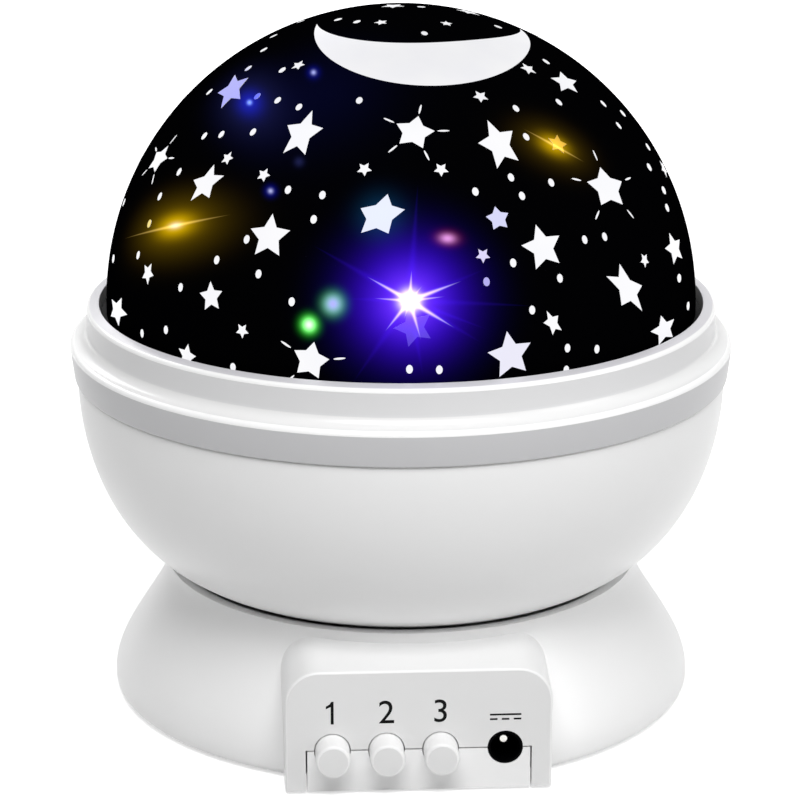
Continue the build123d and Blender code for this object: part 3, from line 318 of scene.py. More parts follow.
def solderMask():
    # green solder mask over copper: paler tracks half a millimetre wide, tinned pads 2.54 mm apart
    material, tree, shader, place = newFinish("greenSolderMask", {"Roughness": 0.32, "IOR": 1.5})
    tracks = addNode(tree, "ShaderNodeTexBrick",
                     {"Vector": place, "Color1": linearColour("#1C6B36"), "Color2": linearColour("#17602F"),
                      "Mortar": linearColour("#2F8A4B"), "Scale": 1 / (8.0 * mm), "Mortar Size": 0.03},
                     offset=0.37, squash=0.7, squash_frequency=3)
    pads = addNode(tree, "ShaderNodeTexVoronoi", {"Vector": place, "Scale": 1 / (2.54 * mm),
                                                  "Randomness": 0.35})
    isPad = addNode(tree, "ShaderNodeMath", {0: pads.outputs["Distance"], 1: 0.16}, operation="LESS_THAN")
    colour = addNode(tree, "ShaderNodeMix", {"Factor": isPad.outputs[0], "A": tracks.outputs["Color"],
                                             "B": linearColour("#C9CACB")}, data_type="RGBA")
    tree.links.new(colour.outputs["Result"], shader.inputs["Base Color"])
    return material


def cellJacket():
    # shrink-wrapped alkaline cell: blue film, a silver shoulder at each end, fine film wrinkles
    material, tree, shader, place = newFinish("cellShrinkFilm", {"Roughness": 0.25, "Metallic": 0.4})
    filmEnd = 17.5 * mm
    along = addNode(tree, "ShaderNodeSeparateXYZ", {"Vector": place}).outputs["X"]
    reach = addNode(tree, "ShaderNodeMath", {0: along}, operation="ABSOLUTE")
    shoulder = addNode(tree, "ShaderNodeMath", {0: reach.outputs[0], 1: filmEnd}, operation="GREATER_THAN")
    colour = addNode(tree, "ShaderNodeMix", {"Factor": shoulder.outputs[0], "A": linearColour("#2B5C9E"),
                                             "B": linearColour("#C4C7CB")}, data_type="RGBA")
    tree.links.new(colour.outputs["Result"], shader.inputs["Base Color"])
    fineRelief(tree, shader, place, grainMm=2.5, depthMm=0.01)
    return material


def leadPvc():
    # soft black PVC insulation, slightly uneven along its length
    material, tree, shader, place = newFinish("leadPvc", {"Base Color": linearColour("#1E1E20"),
                                                          "Roughness": 0.5})
    fineRelief(tree, shader, place, grainMm=1.5, depthMm=0.02)
    return material


# the LEDs' light: strength at the domed tip, share of it lower down, and mm between the two
ledGlow = {"tip": 1.5, "footShare": 0.2, "fade": 5.0}


def ledEpoxy(name, colour):
    # clear cast epoxy lit from inside: saturated, brightest at its domed tip
    material, tree, shader, place = newFinish(name, {"Base Color": linearColour(colour), "Roughness": 0.12,
                                                     "Emission Color": linearColour(colour), "IOR": 1.54})
    high = addNode(tree, "ShaderNodeSeparateXYZ", {"Vector": place}).outputs["Z"]
    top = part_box("led_red")[1].z
    light = addNode(tree, "ShaderNodeMapRange",
                    {"Value": high, "From Min": top - ledGlow["fade"] * mm, "From Max": top,
                     "To Min": ledGlow["footShare"] * ledGlow["tip"], "To Max": ledGlow["tip"]})
    tree.links.new(light.outputs["Result"], shader.inputs["Emission Strength"])
    return material


def dishWhite():
    # satin white polystyrene reflector, its white a little uneven
    material, tree, shader, place = newFinish("reflectorPolystyrene", {"Roughness": 0.4})
    tree.links.new(cloudedColour(tree, place, 12.0, "#EDEDED", "#F8F8F8"), shader.inputs["Base Color"])
    fineRelief(tree, shader, place, grainMm=0.8, depthMm=0.003)
    return material


socketBlack = blackSocket()
nickel = platedSteel("nickelPlate", "#D8D6D2", 0.2)
zincSteel = platedSteel("zincSteel", "#B9BCC2", 0.35)
rubber = footRubber()
board = solderMask()
jacket = cellJacket()
leadBlack = leadPvc()
reflector = dishWhite()
ledColours = {"led_red": "#FF2A1C", "led_green": "#22F03A", "led_blue": "#2A3CFF", "led_warm": "#FFE2A6"}
ledFinishes = {name: ledEpoxy(name + "Epoxy", colour) for name, colour in ledColours.items()}
print("finishes made")

# painted lit spots on the dome: the coloured lamps' glows and flare rays, painted as emission. Azimuth runs
# from the front (-Y) towards +X, elevation from the dome's centre
dome = {"radius": 57.7, "height": 78.5, "foot": 77.3, "wall": 0.4, "segments": 288, "steps": 64}


def domeDirection(azimuth, elevation):
    a, e = radians(azimuth), radians(elevation)
    return Vector((cos(e) * sin(a), -cos(e) * cos(a), sin(e)))


def domeFrame(azimuth, elevation):
    # directions to the right, up and out of the dome at a place on it
    a = radians(azimuth)
    out = domeDirection(azimuth, elevation)
    right = Vector((cos(a), sin(a), 0))
    return right, out.cross(right), out


def domePoint(azimuth, elevation):
    # the place on the dome's outside, in metres like every mesh
    reach = dome["radius"] * mm
    return Vector((0, 0, dome["height"] * mm)) + domeDirection(azimuth, elevation) * reach


# painted glows: azimuth, elevation, colour, strength, half width along and across in mm, tilt of the long
# way
paintedGlows = [
    (-1.6, 15.1, "#4410FF", 1.2, 8.1, 8.1, 0), (-1.6, 15.1, "#FFF4FF", 3.3, 1.5, 1.5, 0),
    (-1.6, 15.1, "#FF8A00", 0.14, 4.5, 4.5, 0), (-7.4, 30.3, "#1E78B4", 0.15, 3.7, 3.7, 0),
    (-20.0, 10.2, "#3CFF34", 1.8, 1.3, 1.3, 0), (-20.0, 10.2, "#FFFFFF", 0.9, 0.9, 0.9, 0),
    (-15.7, 14.2, "#20B82C", 1.7, 1.6, 1.6, 0), (-15.7, 14.2, "#B490FF", 1.0, 1.3, 1.3, 0),
    (-15.7, 14.2, "#00FF00", -0.6, 1.0, 1.0, 0),
    (6.0, 26.0, "#C01A58", 0.5, 1.8, 1.15, -6), (6.0, 26.0, "#D8AAF0", 0.8, 1.2, 0.75, -6),
    (-54.9, 23.5, "#E0B400", 0.95, 4.6, 1.9, 16), (-54.9, 23.5, "#C09800", 0.22, 10.5, 4.8, 16),
    (-54.9, 23.5, "#E8E4DC", 0.8, 1.6, 0.55, 16), (-54.9, 23.5, "#E0B400", -0.7, 1.4, 0.5, 16),
    (37.0, 41.4, "#E0B400", 0.75, 2.8, 1.9, -27), (37.0, 41.4, "#A88400", 0.14, 6.4, 4.2, -27),
    (-52.3, 50.1, "#1420E0", 0.55, 3.8, 2.1, 157), (-52.3, 50.1, "#88A8FF", 1.2, 0.75, 0.42, 157),
    (-52.3, 50.1, "#3A3E90", 0.18, 10.0, 5.5, 157),
    (-36.9, 59.8, "#1018B0", 0.5, 1.7, 1.0, 134), (-36.9, 59.8, "#C8D0FF", 0.7, 0.7, 0.4, 134),
    (-32.4, 33.4, "#1018C0", 0.5, 1.1, 0.9, 153), (-32.4, 33.4, "#E8ECFF", 0.55, 0.5, 0.4, 153),
    (-27.6, 39.6, "#282C60", 0.5, 0.95, 0.8, 138), (-30.0, 55.0, "#0A0E40", 0.25, 12.0, 12.0, 0),
]
# painted flare rays of the lamps: azimuth and elevation of their middle, colour, and for each ray its angle,
# its length and half width in mm, and its strength
paintedRayBursts = [
    ((-1.6, 15.1), "#FFE6FF", [
        (150.5, 8.8, 0.4, 1.6), (86.5, 5.5, 0.38, 1.5), (50, 3.5, 0.3, 1.0), (21, 9.9, 0.42, 1.6),
        (7, 6.3, 0.3, 1.2), (-31, 9.3, 0.45, 1.6), (-74, 7.2, 0.42, 1.5), (-129, 7.0, 0.4, 1.5),
        (176, 6.4, 0.3, 1.2), (-107, 3.4, 0.3, 0.9)]),
    ((-1.6, 15.1), "#3A14E8", [
        (86, 21, 0.9, 0.3), (-2, 22, 0.7, 0.22), (150, 20, 0.9, 0.3), (-125, 18, 0.9, 0.24),
        (-80, 14, 0.8, 0.3), (-30, 15, 0.9, 0.35), (-20, 15, 0.6, 0.35), (23, 15, 0.8, 0.25),
        (178, 12, 0.7, 0.3)]),
    ((-54.9, 23.5), "#F0C868", [(8, 11.0, 0.28, 0.8), (188, 11.0, 0.28, 0.8)]),
    ((37.0, 41.4), "#F0C868", [(-27, 6.5, 0.24, 0.8), (153, 6.5, 0.24, 0.8)]),
]
rayEnd = {"width": 0.01, "behind": -30.0}   # mm: width at a ray's end, and how far round the dome it shows
bellBase = 0.3679                           # a glow or ray falls to this share at its half width


def seenFrame():
    # right, up and towards the viewer, so that the painted rays run straight as they are seen
    turn, high = radians(view["turn"]), radians(90 - view["pitch"])
    towards = Vector((-sin(turn) * cos(high), -cos(turn) * cos(high), sin(high)))
    right = Vector((cos(turn), -sin(turn), 0))
    return right, towards.cross(right), towards


def paintedGlowShare(tree, place, azimuth, elevation, longWay, shortWay, tilt):
    # painted glow: a soft round or long spot that fades as a bell curve
    right, up, out = domeFrame(azimuth, elevation)
    lean = radians(tilt)
    offset = addNode(tree, "ShaderNodeVectorMath", {0: place, 1: tuple(domePoint(azimuth, elevation))},
                     operation="SUBTRACT")
    ways = {"X": (right * cos(lean) + up * sin(lean)) / longWay,
            "Y": (up * cos(lean) - right * sin(lean)) / shortWay, "Z": out / longWay}
    gathered = addNode(tree, "ShaderNodeCombineXYZ")
    for axis, way in ways.items():
        along = addNode(tree, "ShaderNodeVectorMath", {0: offset.outputs["Vector"], 1: tuple(way / mm)},
                        operation="DOT_PRODUCT")
        tree.links.new(along.outputs["Value"], gathered.inputs[axis])
    distance = addNode(tree, "ShaderNodeVectorMath", {0: gathered.outputs[0]}, operation="LENGTH")
    squared = addNode(tree, "ShaderNodeMath", {0: distance.outputs["Value"], 1: 2.0}, operation="POWER")
    return addNode(tree, "ShaderNodeMath", {0: bellBase, 1: squared.outputs[0]}, operation="POWER")


def paintedRayShare(tree, place, centre, angle, length, halfWidth):
    # one painted flare ray, thin, that narrows and fades towards its end
    right, up, towards = seenFrame()
    turn = radians(angle)
    offset = addNode(tree, "ShaderNodeVectorMath", {0: place, 1: tuple(domePoint(*centre))},
                     operation="SUBTRACT")
    ways = (right * cos(turn) + up * sin(turn), up * cos(turn) - right * sin(turn), towards)
    reach, side, depth = [addNode(tree, "ShaderNodeVectorMath",
                                  {0: offset.outputs["Vector"], 1: tuple(way / mm)},
                                  operation="DOT_PRODUCT").outputs["Value"] for way in ways]
    left = addNode(tree, "ShaderNodeMapRange", {"Value": reach, "From Max": length, "To Min": 1.0,
                                                "To Max": 0.0}).outputs["Result"]
    ahead = addNode(tree, "ShaderNodeMath", {0: reach, 1: 0.0}, operation="GREATER_THAN")
    near = addNode(tree, "ShaderNodeMath", {0: depth, 1: rayEnd["behind"]}, operation="GREATER_THAN")
    width = addNode(tree, "ShaderNodeMath", {0: left, 1: halfWidth, 2: rayEnd["width"]},
                    operation="MULTIPLY_ADD")
    ratio = addNode(tree, "ShaderNodeMath", {0: side, 1: width.outputs[0]}, operation="DIVIDE")
    squared = addNode(tree, "ShaderNodeMath", {0: ratio.outputs[0], 1: ratio.outputs[0]},
                      operation="MULTIPLY")
    fade = addNode(tree, "ShaderNodeMath", {0: bellBase, 1: squared.outputs[0]}, operation="POWER")
    for share in (ahead.outputs[0], near.outputs[0], left):
        fade = addNode(tree, "ShaderNodeMath", {0: fade.outputs[0], 1: share}, operation="MULTIPLY")
    return fade


def paintedLampGlare(tree, place, total):
    # adds every painted glow and flare ray of the coloured lamps to the emission already there
    lights = [(paintedGlowShare(tree, place, azimuth, elevation, longWay, shortWay, tilt), colour, strength)
              for azimuth, elevation, colour, strength, longWay, shortWay, tilt in paintedGlows]
    lights += [(paintedRayShare(tree, place, centre, angle, length, halfWidth), colour, strength)
               for centre, colour, rays in paintedRayBursts for angle, length, halfWidth, strength in rays]
    for share, colour, strength in lights:
        shade = Vector(linearColour(colour)[:3]) * strength
        light = addNode(tree, "ShaderNodeVectorMath", {0: tuple(shade), "Scale": share.outputs[0]},
                        operation="SCALE")
        total = addNode(tree, "ShaderNodeVectorMath", {0: total, 1: light.outputs["Vector"]},
                        operation="ADD").outputs["Vector"]
    return total


def blackFilm():
    # dead black printed PET film: no shine at all; the coloured lamps' glows and flare rays are painted on
    # it as emission
    material, tree, shader, place = newFinish("blackStarFilm",
                                              {"Base Color": linearColour("#020203"), "Roughness": 0.6,
                                               "Specular IOR Level": 0.0, "Emission Strength": 1.0})
    tree.links.new(paintedLampGlare(tree, place, (0, 0, 0)), shader.inputs["Emission Color"])
    return material


# painted tint of the lamps' coloured light on the clear stars near them: place, colour, reach in mm, share
paintedStarTints = [
    (-0.9, 10.4, "#3E2A78", 6.8, 1.0), (38.1, 41.6, "#C89A28", 5.0, 1.0), (-64, 51, "#9C9CF4", 8.0, 0.9),
    (-64.4, 22, "#F0D868", 3.0, 0.9), (16.9, 29, "#CFD0F8", 5.0, 0.85), (12.7, 22.6, "#D4CCF6", 3.5, 0.8),
    (12.9, 17.9, "#A8A0E8", 3.0, 0.9), (-7.4, 30.3, "#E4E8FA", 8.0, 0.8), (16.7, 4.5, "#E8E6F8", 8.0, 0.8),
    (-51.2, 51.8, "#4858E8", 2.5, 0.95),
]
# brightness on the sides and at the crown, mm below the top where it changes, share of a tint's reach
litWindow = {"side": 0.97, "crown": 0.82, "fadeFrom": 16, "fadeTo": 4, "tintCore": 0.55}


def litLens():
    # milky polystyrene lit from inside: even white, faintly lavender, a little dimmer at the crown, with the
    # lamps' tints, glows and flare rays painted on
    material, tree, shader, place = newFinish("milkyLensWindow",
                                              {"Base Color": linearColour("#2A2A2C"), "Roughness": 0.45,
                                               "Specular IOR Level": 0.1})
    high = addNode(tree, "ShaderNodeSeparateXYZ", {"Vector": place}).outputs["Z"]
    crown = dome["height"] + dome["radius"]
    fade = addNode(tree, "ShaderNodeMapRange",
                   {"Value": high, "From Min": (crown - litWindow["fadeFrom"]) * mm,
                    "From Max": (crown - litWindow["fadeTo"]) * mm, "To Min": litWindow["side"],
                    "To Max": litWindow["crown"]})
    tree.links.new(fade.outputs["Result"], shader.inputs["Emission Strength"])
    total = cloudedColour(tree, place, 9.0, "#F4F4FA", "#FFFFFF")
    for azimuth, elevation, tint, reach, share in paintedStarTints:
        offset = addNode(tree, "ShaderNodeVectorMath", {0: place, 1: tuple(domePoint(azimuth, elevation))},
                         operation="SUBTRACT")
        distance = addNode(tree, "ShaderNodeVectorMath", {0: offset.outputs["Vector"]}, operation="LENGTH")
        near = addNode(tree, "ShaderNodeMapRange",
                       {"Value": distance.outputs["Value"], "From Min": litWindow["tintCore"] * reach * mm,
                        "From Max": reach * mm, "To Min": share, "To Max": 0.0})
        total = addNode(tree, "ShaderNodeMix", {"Factor": near.outputs["Result"], "A": total,
                                                "B": linearColour(tint)}, data_type="RGBA").outputs["Result"]
    tree.links.new(paintedLampGlare(tree, place, total), shader.inputs["Emission Color"])
    return material


filmBlack = blackFilm()
lensLit = litLens()


# dome: smooth black film shell over the milky lens
def domeSection(outer, inner, foot, flange=None, flangeTop=0.0):
    # half section up the outside from the foot to the crown and down the inside, with a flange if asked
    points = [Vector((inner, foot))]
    if flange:
        points += [Vector((flange, foot)), Vector((flange, flangeTop)), Vector((outer, flangeTop))]
    else:
        points.append(Vector((outer, foot)))
    turns = [radians(90 * step / dome["steps"]) for step in range(dome["steps"] + 1)]
    points += [Vector((outer * cos(turn), dome["height"] + outer * sin(turn))) for turn in turns]
    points += [Vector((inner * cos(turn), dome["height"] + inner * sin(turn))) for turn in reversed(turns)]
    return points


lens = {"outer": 57.2, "inner": 55.7, "foot": 72.2, "flange": 58.7, "hemDrop": 0.02, "hemReach": 0.1,
        "segments": 240}
filmShell = lathe("domeFilm", domeSection(dome["radius"], dome["radius"] - dome["wall"], dome["foot"]),
                  [filmBlack], dome["segments"])
seat(filmShell, "dome", "film_black", "star_film")


def milkyLens():
    # blow-moulded milky polystyrene: dull white, takes a little light through its wall
    material, tree, shader, place = newFinish("milkyPolystyrene", {"Base Color": linearColour("#E2E2E6"),
                                                                   "Roughness": 0.4,
                                                                   "Subsurface Weight": 0.2,
                                                                   "Subsurface Scale": 1.5 * mm})
    fineRelief(tree, shader, place, grainMm=6.0, depthMm=0.02)
    return material


def blackHem():
    # the film's hem lies over the lens's flange, dead black like the film
    material, tree, shader, place = newFinish("blackFilmHem", {"Specular IOR Level": 0.05, "Roughness": 0.6})
    tree.links.new(cloudedColour(tree, place, 3.0, "#020203", "#050507"), shader.inputs["Base Color"])
    return material


def lensFinish(lower, upper):
    # the hem covers the flange's rim and top
    outside = min(lower.x, upper.x) > lens["outer"] - lens["hemReach"]
    below = max(lower.y, upper.y) < dome["foot"] + lens["hemReach"]
    return 1 if outside and below else 0


lensShell = lathe("domeLens", domeSection(lens["outer"], lens["inner"], lens["foot"], lens["flange"],
                                          dome["foot"] - lens["hemDrop"]), [milkyLens(), blackHem()],
                  lens["segments"], lensFinish)
seat(lensShell, "dome", "lens_milky", "dome_lens")
print("dome shells turned")

# clear windows in the film, sizes in mm and waists as shares of a star's radius
windows = {"points": 5, "waist": 0.5, "plumpWaist": 0.58, "dotSides": 20, "lift": 0.06, "thickness": 0.1,
           "dotLength": 0.8, "dotWidth": 0.6, "rayLength": 2.2, "rayWidth": 0.38}
# stars: azimuth, elevation, radius in mm, turn, and for a stretched one by how much and along which way
frontStars = [
    (-72.5, 3.2, 2.9, -17, 2.1, 14), (-64.7, 51.5, 3.7, -21, 1.45, 146), (-60, 13.4, 2.1, -17),
    (-50.4, 32.5, 3.4, 10, 1.3, 50), (-47.5, 38.1, 1.4, -6), (-46, 61, 1.4, 3), (-46, 0.8, 2.4, -8),
    (-40.9, 12.7, 2.8, 13), (-35.4, 36.2, 1.4, -14), (-33.2, 7.7, 1.4, -31), (-30.1, 25.1, 4.2, 4),
    (-29.4, 45.3, 3.8, 0, 1.4, 86), (-11.6, 39, 1.4, -28), (-0.9, 10.4, 3.6, 20), (6, 38.9, 1.4, 32),
    (12.7, 22.6, 1.4, 32), (16.7, 4.5, 4.4, 7), (21.7, 43.2, 4.0, 9, 1.35, 85), (22.1, 54, 1.5, 18),
    (25.4, 22.9, 4.3, 6), (25.4, 9.3, 1.7, 21, 1.5, 120), (38.3, 41.5, 2.1, -28),
    (44.2, 12.5, 3.5, -6, 1.8, 134), (49, 58.8, 1.7, -9), (51.2, 16.4, 1.4, 22),
    (55.3, 2.3, 2.9, 8, 1.8, 171), (60, 53.3, 2.9, -30, 1.5, 2), (64.9, 15.6, 3.1, 3, 1.55, 167),
    (81, 28.3, 1.7, 0, 2.0, 0),
]
crownStars = [(-23, 79, 1.3, 36), (38.8, 77.2, 1.2, 36), (-140, 87.8, 2.3, 26), (103, 76.5, 2.4, -3)]
plumpStars = [(-7.4, 30.3, 3.6, -8, 1.3, 38), (16.9, 29, 2.3, 4)]
# plump stars with a short dash beyond some of their points: the star, the gap in mm, those points
rayedStars = [((0.3, 46.7, 3.7, -14), 0.5, (0, 1, 2, 3, 4)),
              ((-74.3, 33.2, 2.9, -3, 1.35, 25), 0.5, (0, 1, 2, 3, 4)),
              ((-19.5, 3.8, 3.5, -10), 0.8, (1, 2, 3, 4)),
              ((46.9, 31.2, 4.1, -10, 1.25, 168), 1.4, (0, 1, 2, 3, 4))]
# dots: azimuth, elevation, and how much a dot near the limb is lengthened
frontDots = [
    (-76, 49), (-69, 57), (-76.5, 62), (-51, 59), (-51.2, 51.8), (-42.5, 51.8),
    (-34, 51), (-16, 53.7), (-60, 41), (-54, 42.3), (-44, 44.2), (-61.4, 33), (-28.3, 34), (-20.2, 33.6),
    (-64.4, 27.4), (-86, 21.4, 1.5), (-64.4, 22), (-21.2, 29), (-35, 24), (-80, 11.5, 1.8), (-65.3, 15.7),
    (-41, 19.4), (-31, 18.2), (-49, 13), (-23.6, 14), (-52, 4.5), (-60, 2), (-35, 0.7), (-1.7, 2.9),
    (3.6, 2.7), (31.5, 50.3), (48.4, 49.8), (30, 44), (69, 46), (77, 42, 1.5), (67, 41), (77, 34, 1.5),
    (68.7, 31.3, 1.5), (22, 36.4), (13, 34.3), (23.4, 32.7), (31.6, 34.4), (70.6, 26, 1.7),
    (68, 23, 1.5), (35.6, 23), (41, 22.7), (18.6, 20.8), (12.9, 17.9), (28, 17), (21.4, 12.1),
    (28.3, 4.3), (35, 3), (64.3, 10, 1.8), (68.6, 3.5, 1.8), (28, 0.3), (63.4, 59),
]
crownDots = [(-91, 65), (-105, 70), (76, 71), (-70, 77), (-47, 78), (12.7, 74), (102, 86)]


def withBack(places):
    return places + [(place[0] + 180, *place[1:]) for place in places]


# what each point holds: the window's size, how it lies on the dome, and how far and which way it is widened
pointValues = ("size", "lie", "widen")


def windowPoints(name, places):
    # one point for each window
    mesh = bpy.data.meshes.new(name)
    mesh.from_pydata([domePoint(p["azimuth"], p["elevation"]) for p in places], [], [])
    size, lie, widen = [mesh.attributes.new(label, "FLOAT_VECTOR", "POINT") for label in pointValues]
    for index, p in enumerate(places):
        right, up, out = domeFrame(p["azimuth"], p["elevation"])
        turned = Matrix((right, up, out)).transposed() @ Matrix.Rotation(radians(p["turn"]), 3, "Z")
        size.data[index].vector = (p["length"] * mm, p["width"] * mm, mm)
        lie.data[index].vector = turned.to_euler()
        way = radians(p["way"])
        widen.data[index].vector = (right * cos(way) + up * sin(way)) * sqrt(p["stretch"] - 1)
    points = bpy.data.objects.new(name, mesh)
    bpy.context.scene.collection.objects.link(points)
    return points


def startTree(name, kind, inputs):
    # a tree with a geometry, the named inputs of one kind and a finish to take in
    tree = bpy.data.node_groups.new(name, "GeometryNodeTree")
    face = tree.interface
    face.new_socket("Geometry", in_out="INPUT", socket_type="NodeSocketGeometry")
    for label, value in inputs.items():
        face.new_socket(label, in_out="INPUT", socket_type=kind).default_value = value
    face.new_socket("Finish", in_out="INPUT", socket_type="NodeSocketMaterial")
    face.new_socket("Geometry", in_out="OUTPUT", socket_type="NodeSocketGeometry")
    return tree, addNode(tree, "NodeGroupInput").outputs


def endTree(tree, given, geometry):
    dressed = addNode(tree, "GeometryNodeSetMaterial", {"Geometry": geometry, "Material": given["Finish"]})
    addNode(tree, "NodeGroupOutput", {"Geometry": dressed.outputs["Geometry"]})


def windowTree(name, outline, waist):
    # instances one outline on every point, then lays the copies on the dome
    tree, given = startTree(name, "NodeSocketFloat",
                            {"Dome Radius": (dome["radius"] + windows["lift"]) * mm,
                             "Dome Height": dome["height"] * mm, "Star Waist": waist})
    if outline == "star":
        shape = addNode(tree, "GeometryNodeCurveStar",
                        {"Points": windows["points"], "Inner Radius": given["Star Waist"],
                         "Outer Radius": 1.0})
        filled = addNode(tree, "GeometryNodeFillCurve", {"Curve": shape.outputs["Curve"]})
        shape = addNode(tree, "GeometryNodeSubdivideMesh", {"Mesh": filled.outputs["Mesh"], "Level": 2})
    else:
        shape = addNode(tree, "GeometryNodeMeshCircle", {"Vertices": windows["dotSides"], "Radius": 1.0},
                        fill_type="TRIANGLE_FAN")
    size, lie, widen = [addNode(tree, "GeometryNodeInputNamedAttribute", {"Name": label},
                                data_type="FLOAT_VECTOR").outputs["Attribute"] for label in pointValues]
    copies = addNode(tree, "GeometryNodeInstanceOnPoints",
                     {"Points": given["Geometry"], "Instance": shape.outputs["Mesh"],
                      "Rotation": lie, "Scale": size})
    real = addNode(tree, "GeometryNodeRealizeInstances", {"Geometry": copies.outputs["Instances"]})
    centre = addNode(tree, "ShaderNodeCombineXYZ", {"Z": given["Dome Height"]})
    place = addNode(tree, "GeometryNodeInputPosition")
    arm = addNode(tree, "ShaderNodeVectorMath", {0: place.outputs[0], 1: centre.outputs[0]},
                  operation="SUBTRACT")
    along = addNode(tree, "ShaderNodeVectorMath", {0: arm.outputs[0], 1: widen}, operation="DOT_PRODUCT")
    extra = addNode(tree, "ShaderNodeVectorMath", {0: widen, "Scale": along.outputs["Value"]},
                    operation="SCALE")
    wide = addNode(tree, "ShaderNodeVectorMath", {0: arm.outputs[0], 1: extra.outputs[0]})
    unit = addNode(tree, "ShaderNodeVectorMath", {0: wide.outputs[0]}, operation="NORMALIZE")
    reach = addNode(tree, "ShaderNodeVectorMath", {0: unit.outputs[0], "Scale": given["Dome Radius"]},
                    operation="SCALE")
    laid = addNode(tree, "ShaderNodeVectorMath", {0: reach.outputs[0], 1: centre.outputs[0]})
    moved = addNode(tree, "GeometryNodeSetPosition", {"Geometry": real.outputs["Geometry"],
                                                      "Position": laid.outputs[0]})
    endTree(tree, given, moved.outputs["Geometry"])
    return tree


def plainMesh(piece, name):
    # takes the evaluated result as a plain mesh at the origin and drops the maker
    depsgraph = bpy.context.evaluated_depsgraph_get()
    mesh = bpy.data.meshes.new_from_object(piece.evaluated_get(depsgraph), depsgraph=depsgraph)
    mesh.name = name
    plain = bpy.data.objects.new(name, mesh)
    bpy.context.scene.collection.objects.link(plain)
    bpy.data.objects.remove(piece)
    return plain


def grown(maker, tree, finish, name):
    # gives maker the tree with its finish and keeps what grows from it
    modifier = maker.modifiers.new("grow", "NODES")
    modifier.node_group = tree
    finishInput = next(item for item in tree.interface.items_tree if item.name == "Finish")
    modifier[finishInput.identifier] = finish
    return plainMesh(maker, name)


def thicken(mesh, thickness, centre):
    # turns patches to face away from centre and gives them an edge and a back
    work = bmesh.new()
    work.from_mesh(mesh)
    bmesh.ops.remove_doubles(work, verts=work.verts, dist=merge["window"] * mm)
    for polygon in work.faces:
        polygon.normal_update()
        if polygon.normal.dot(polygon.calc_center_median() - centre) < 0:
            polygon.normal_flip()
    front = list(work.faces)
    inner = {v: work.verts.new(v.co - (v.co - centre).normalized() * thickness) for v in list(work.verts)}
    edges = [edge for edge in work.edges if len(edge.link_faces) == 1]
    for polygon in front:
        work.faces.new([inner[v] for v in reversed(polygon.verts)])
    for edge in edges:
        loop = edge.link_loops[0]
        first, second = loop.vert, loop.link_loop_next.vert
        work.faces.new([second, first, inner[first], inner[second]])
    work.to_mesh(mesh)
    work.free()


def scatterWindows(name, outline, places, waist=windows["waist"]):
    points = windowPoints(name + "Points", places)
    piece = grown(points, windowTree(name + "Scatter", outline, waist), lensLit, name)
    thicken(piece.data, windows["thickness"] * mm, Vector((0, 0, dome["height"] * mm)))
    smoothMesh(piece.data, crease["window"])
    seat(piece, "dome", "lens_milky")


def starPlace(azimuth, elevation, radius, turn, stretch=1.0, way=0):
    # turn leans the star's upper point to the left, stretch lengthens the star along way, degrees from
    # the dome's right
    return {"azimuth": azimuth, "elevation": elevation, "length": radius, "width": radius, "turn": 90 + turn,
            "stretch": stretch, "way": way}


def rayPlaces(star, gap, tips):
    # a short dash beyond points of a rayed star
    spot = starPlace(*star)
    right, up, out = domeFrame(spot["azimuth"], spot["elevation"])
    longWay = right * cos(radians(spot["way"])) + up * sin(radians(spot["way"]))
    places = []
    for tip in tips:
        angle = radians(spot["turn"] + 360 / windows["points"] * tip)
        way = right * cos(angle) + up * sin(angle)
        way += longWay * way.dot(longWay) * (spot["stretch"] - 1)
        reach = spot["length"] * way.length + gap + windows["rayLength"] / 2
        way.normalize()
        middle = (out * dome["radius"] + way * reach).normalized()
        azimuth, elevation = atan2(middle.x, -middle.y) * 180 / pi, asin(middle.z) * 180 / pi
        there = domeFrame(azimuth, elevation)
        turn = atan2(way.dot(there[1]), way.dot(there[0])) * 180 / pi
        places.append({"azimuth": azimuth, "elevation": elevation, "length": windows["rayLength"] / 2,
                       "width": windows["rayWidth"] / 2, "turn": turn, "stretch": 1.0, "way": 0})
    return places


def dotPlace(azimuth, elevation, stretch=1.0):
    return {"azimuth": azimuth, "elevation": elevation, "length": windows["dotWidth"],
            "width": windows["dotLength"], "turn": 0, "stretch": stretch, "way": 0}


rayedStars += [((star[0] + 180, *star[1:]), gap, tips) for star, gap, tips in rayedStars]
scatterWindows("domeStars", "star", [starPlace(*star) for star in withBack(frontStars) + crownStars])
scatterWindows("domePlumpStars", "star",
               [starPlace(*star) for star in withBack(plumpStars) + [rayed[0] for rayed in rayedStars]],
               windows["plumpWaist"])
scatterWindows("domeDots", "dot", [dotPlace(*dot) for dot in withBack(frontDots) + crownDots])
scatterWindows("domeRays", "dash", [dash for rayed in rayedStars for dash in rayPlaces(*rayed)])
print("stars, dots and rays scattered")

# crescent at the crown, between two slightly oval rims: tilt and azimuth of each rim's axis, its half
# angle, how oval it is and which way it leans, degrees
moon = {"outer": {"tilt": 9.1, "azimuth": 25.4, "half": 22.4, "oval": 0.08, "lean": 52},
        "inner": {"tilt": 3.7, "azimuth": 80, "half": 19.2, "oval": 0.08, "lean": -45},
        "along": 96, "across": 10, "halvings": 40}


def rimFrame(rim):
    return domeFrame(rim["azimuth"], 90 - rim["tilt"])


def rimHalf(rim, angle):
    return radians(rim["half"] * (1 + rim["oval"] * cos(2 * (angle - radians(rim["lean"])))))


def rimPoint(rim, angle):
    right, up, out = rimFrame(rim)
    half = rimHalf(rim, angle)
    return out * cos(half) + (right * cos(angle) + up * sin(angle)) * sin(half)


def rimAngle(rim, point):
    # angle round the rim's axis, counted so that the front is -90 degrees and has no jump near it
    right, up = rimFrame(rim)[:2]
    angle = atan2(point.dot(up), point.dot(right))
    return angle - 2 * pi if angle > pi / 2 else angle


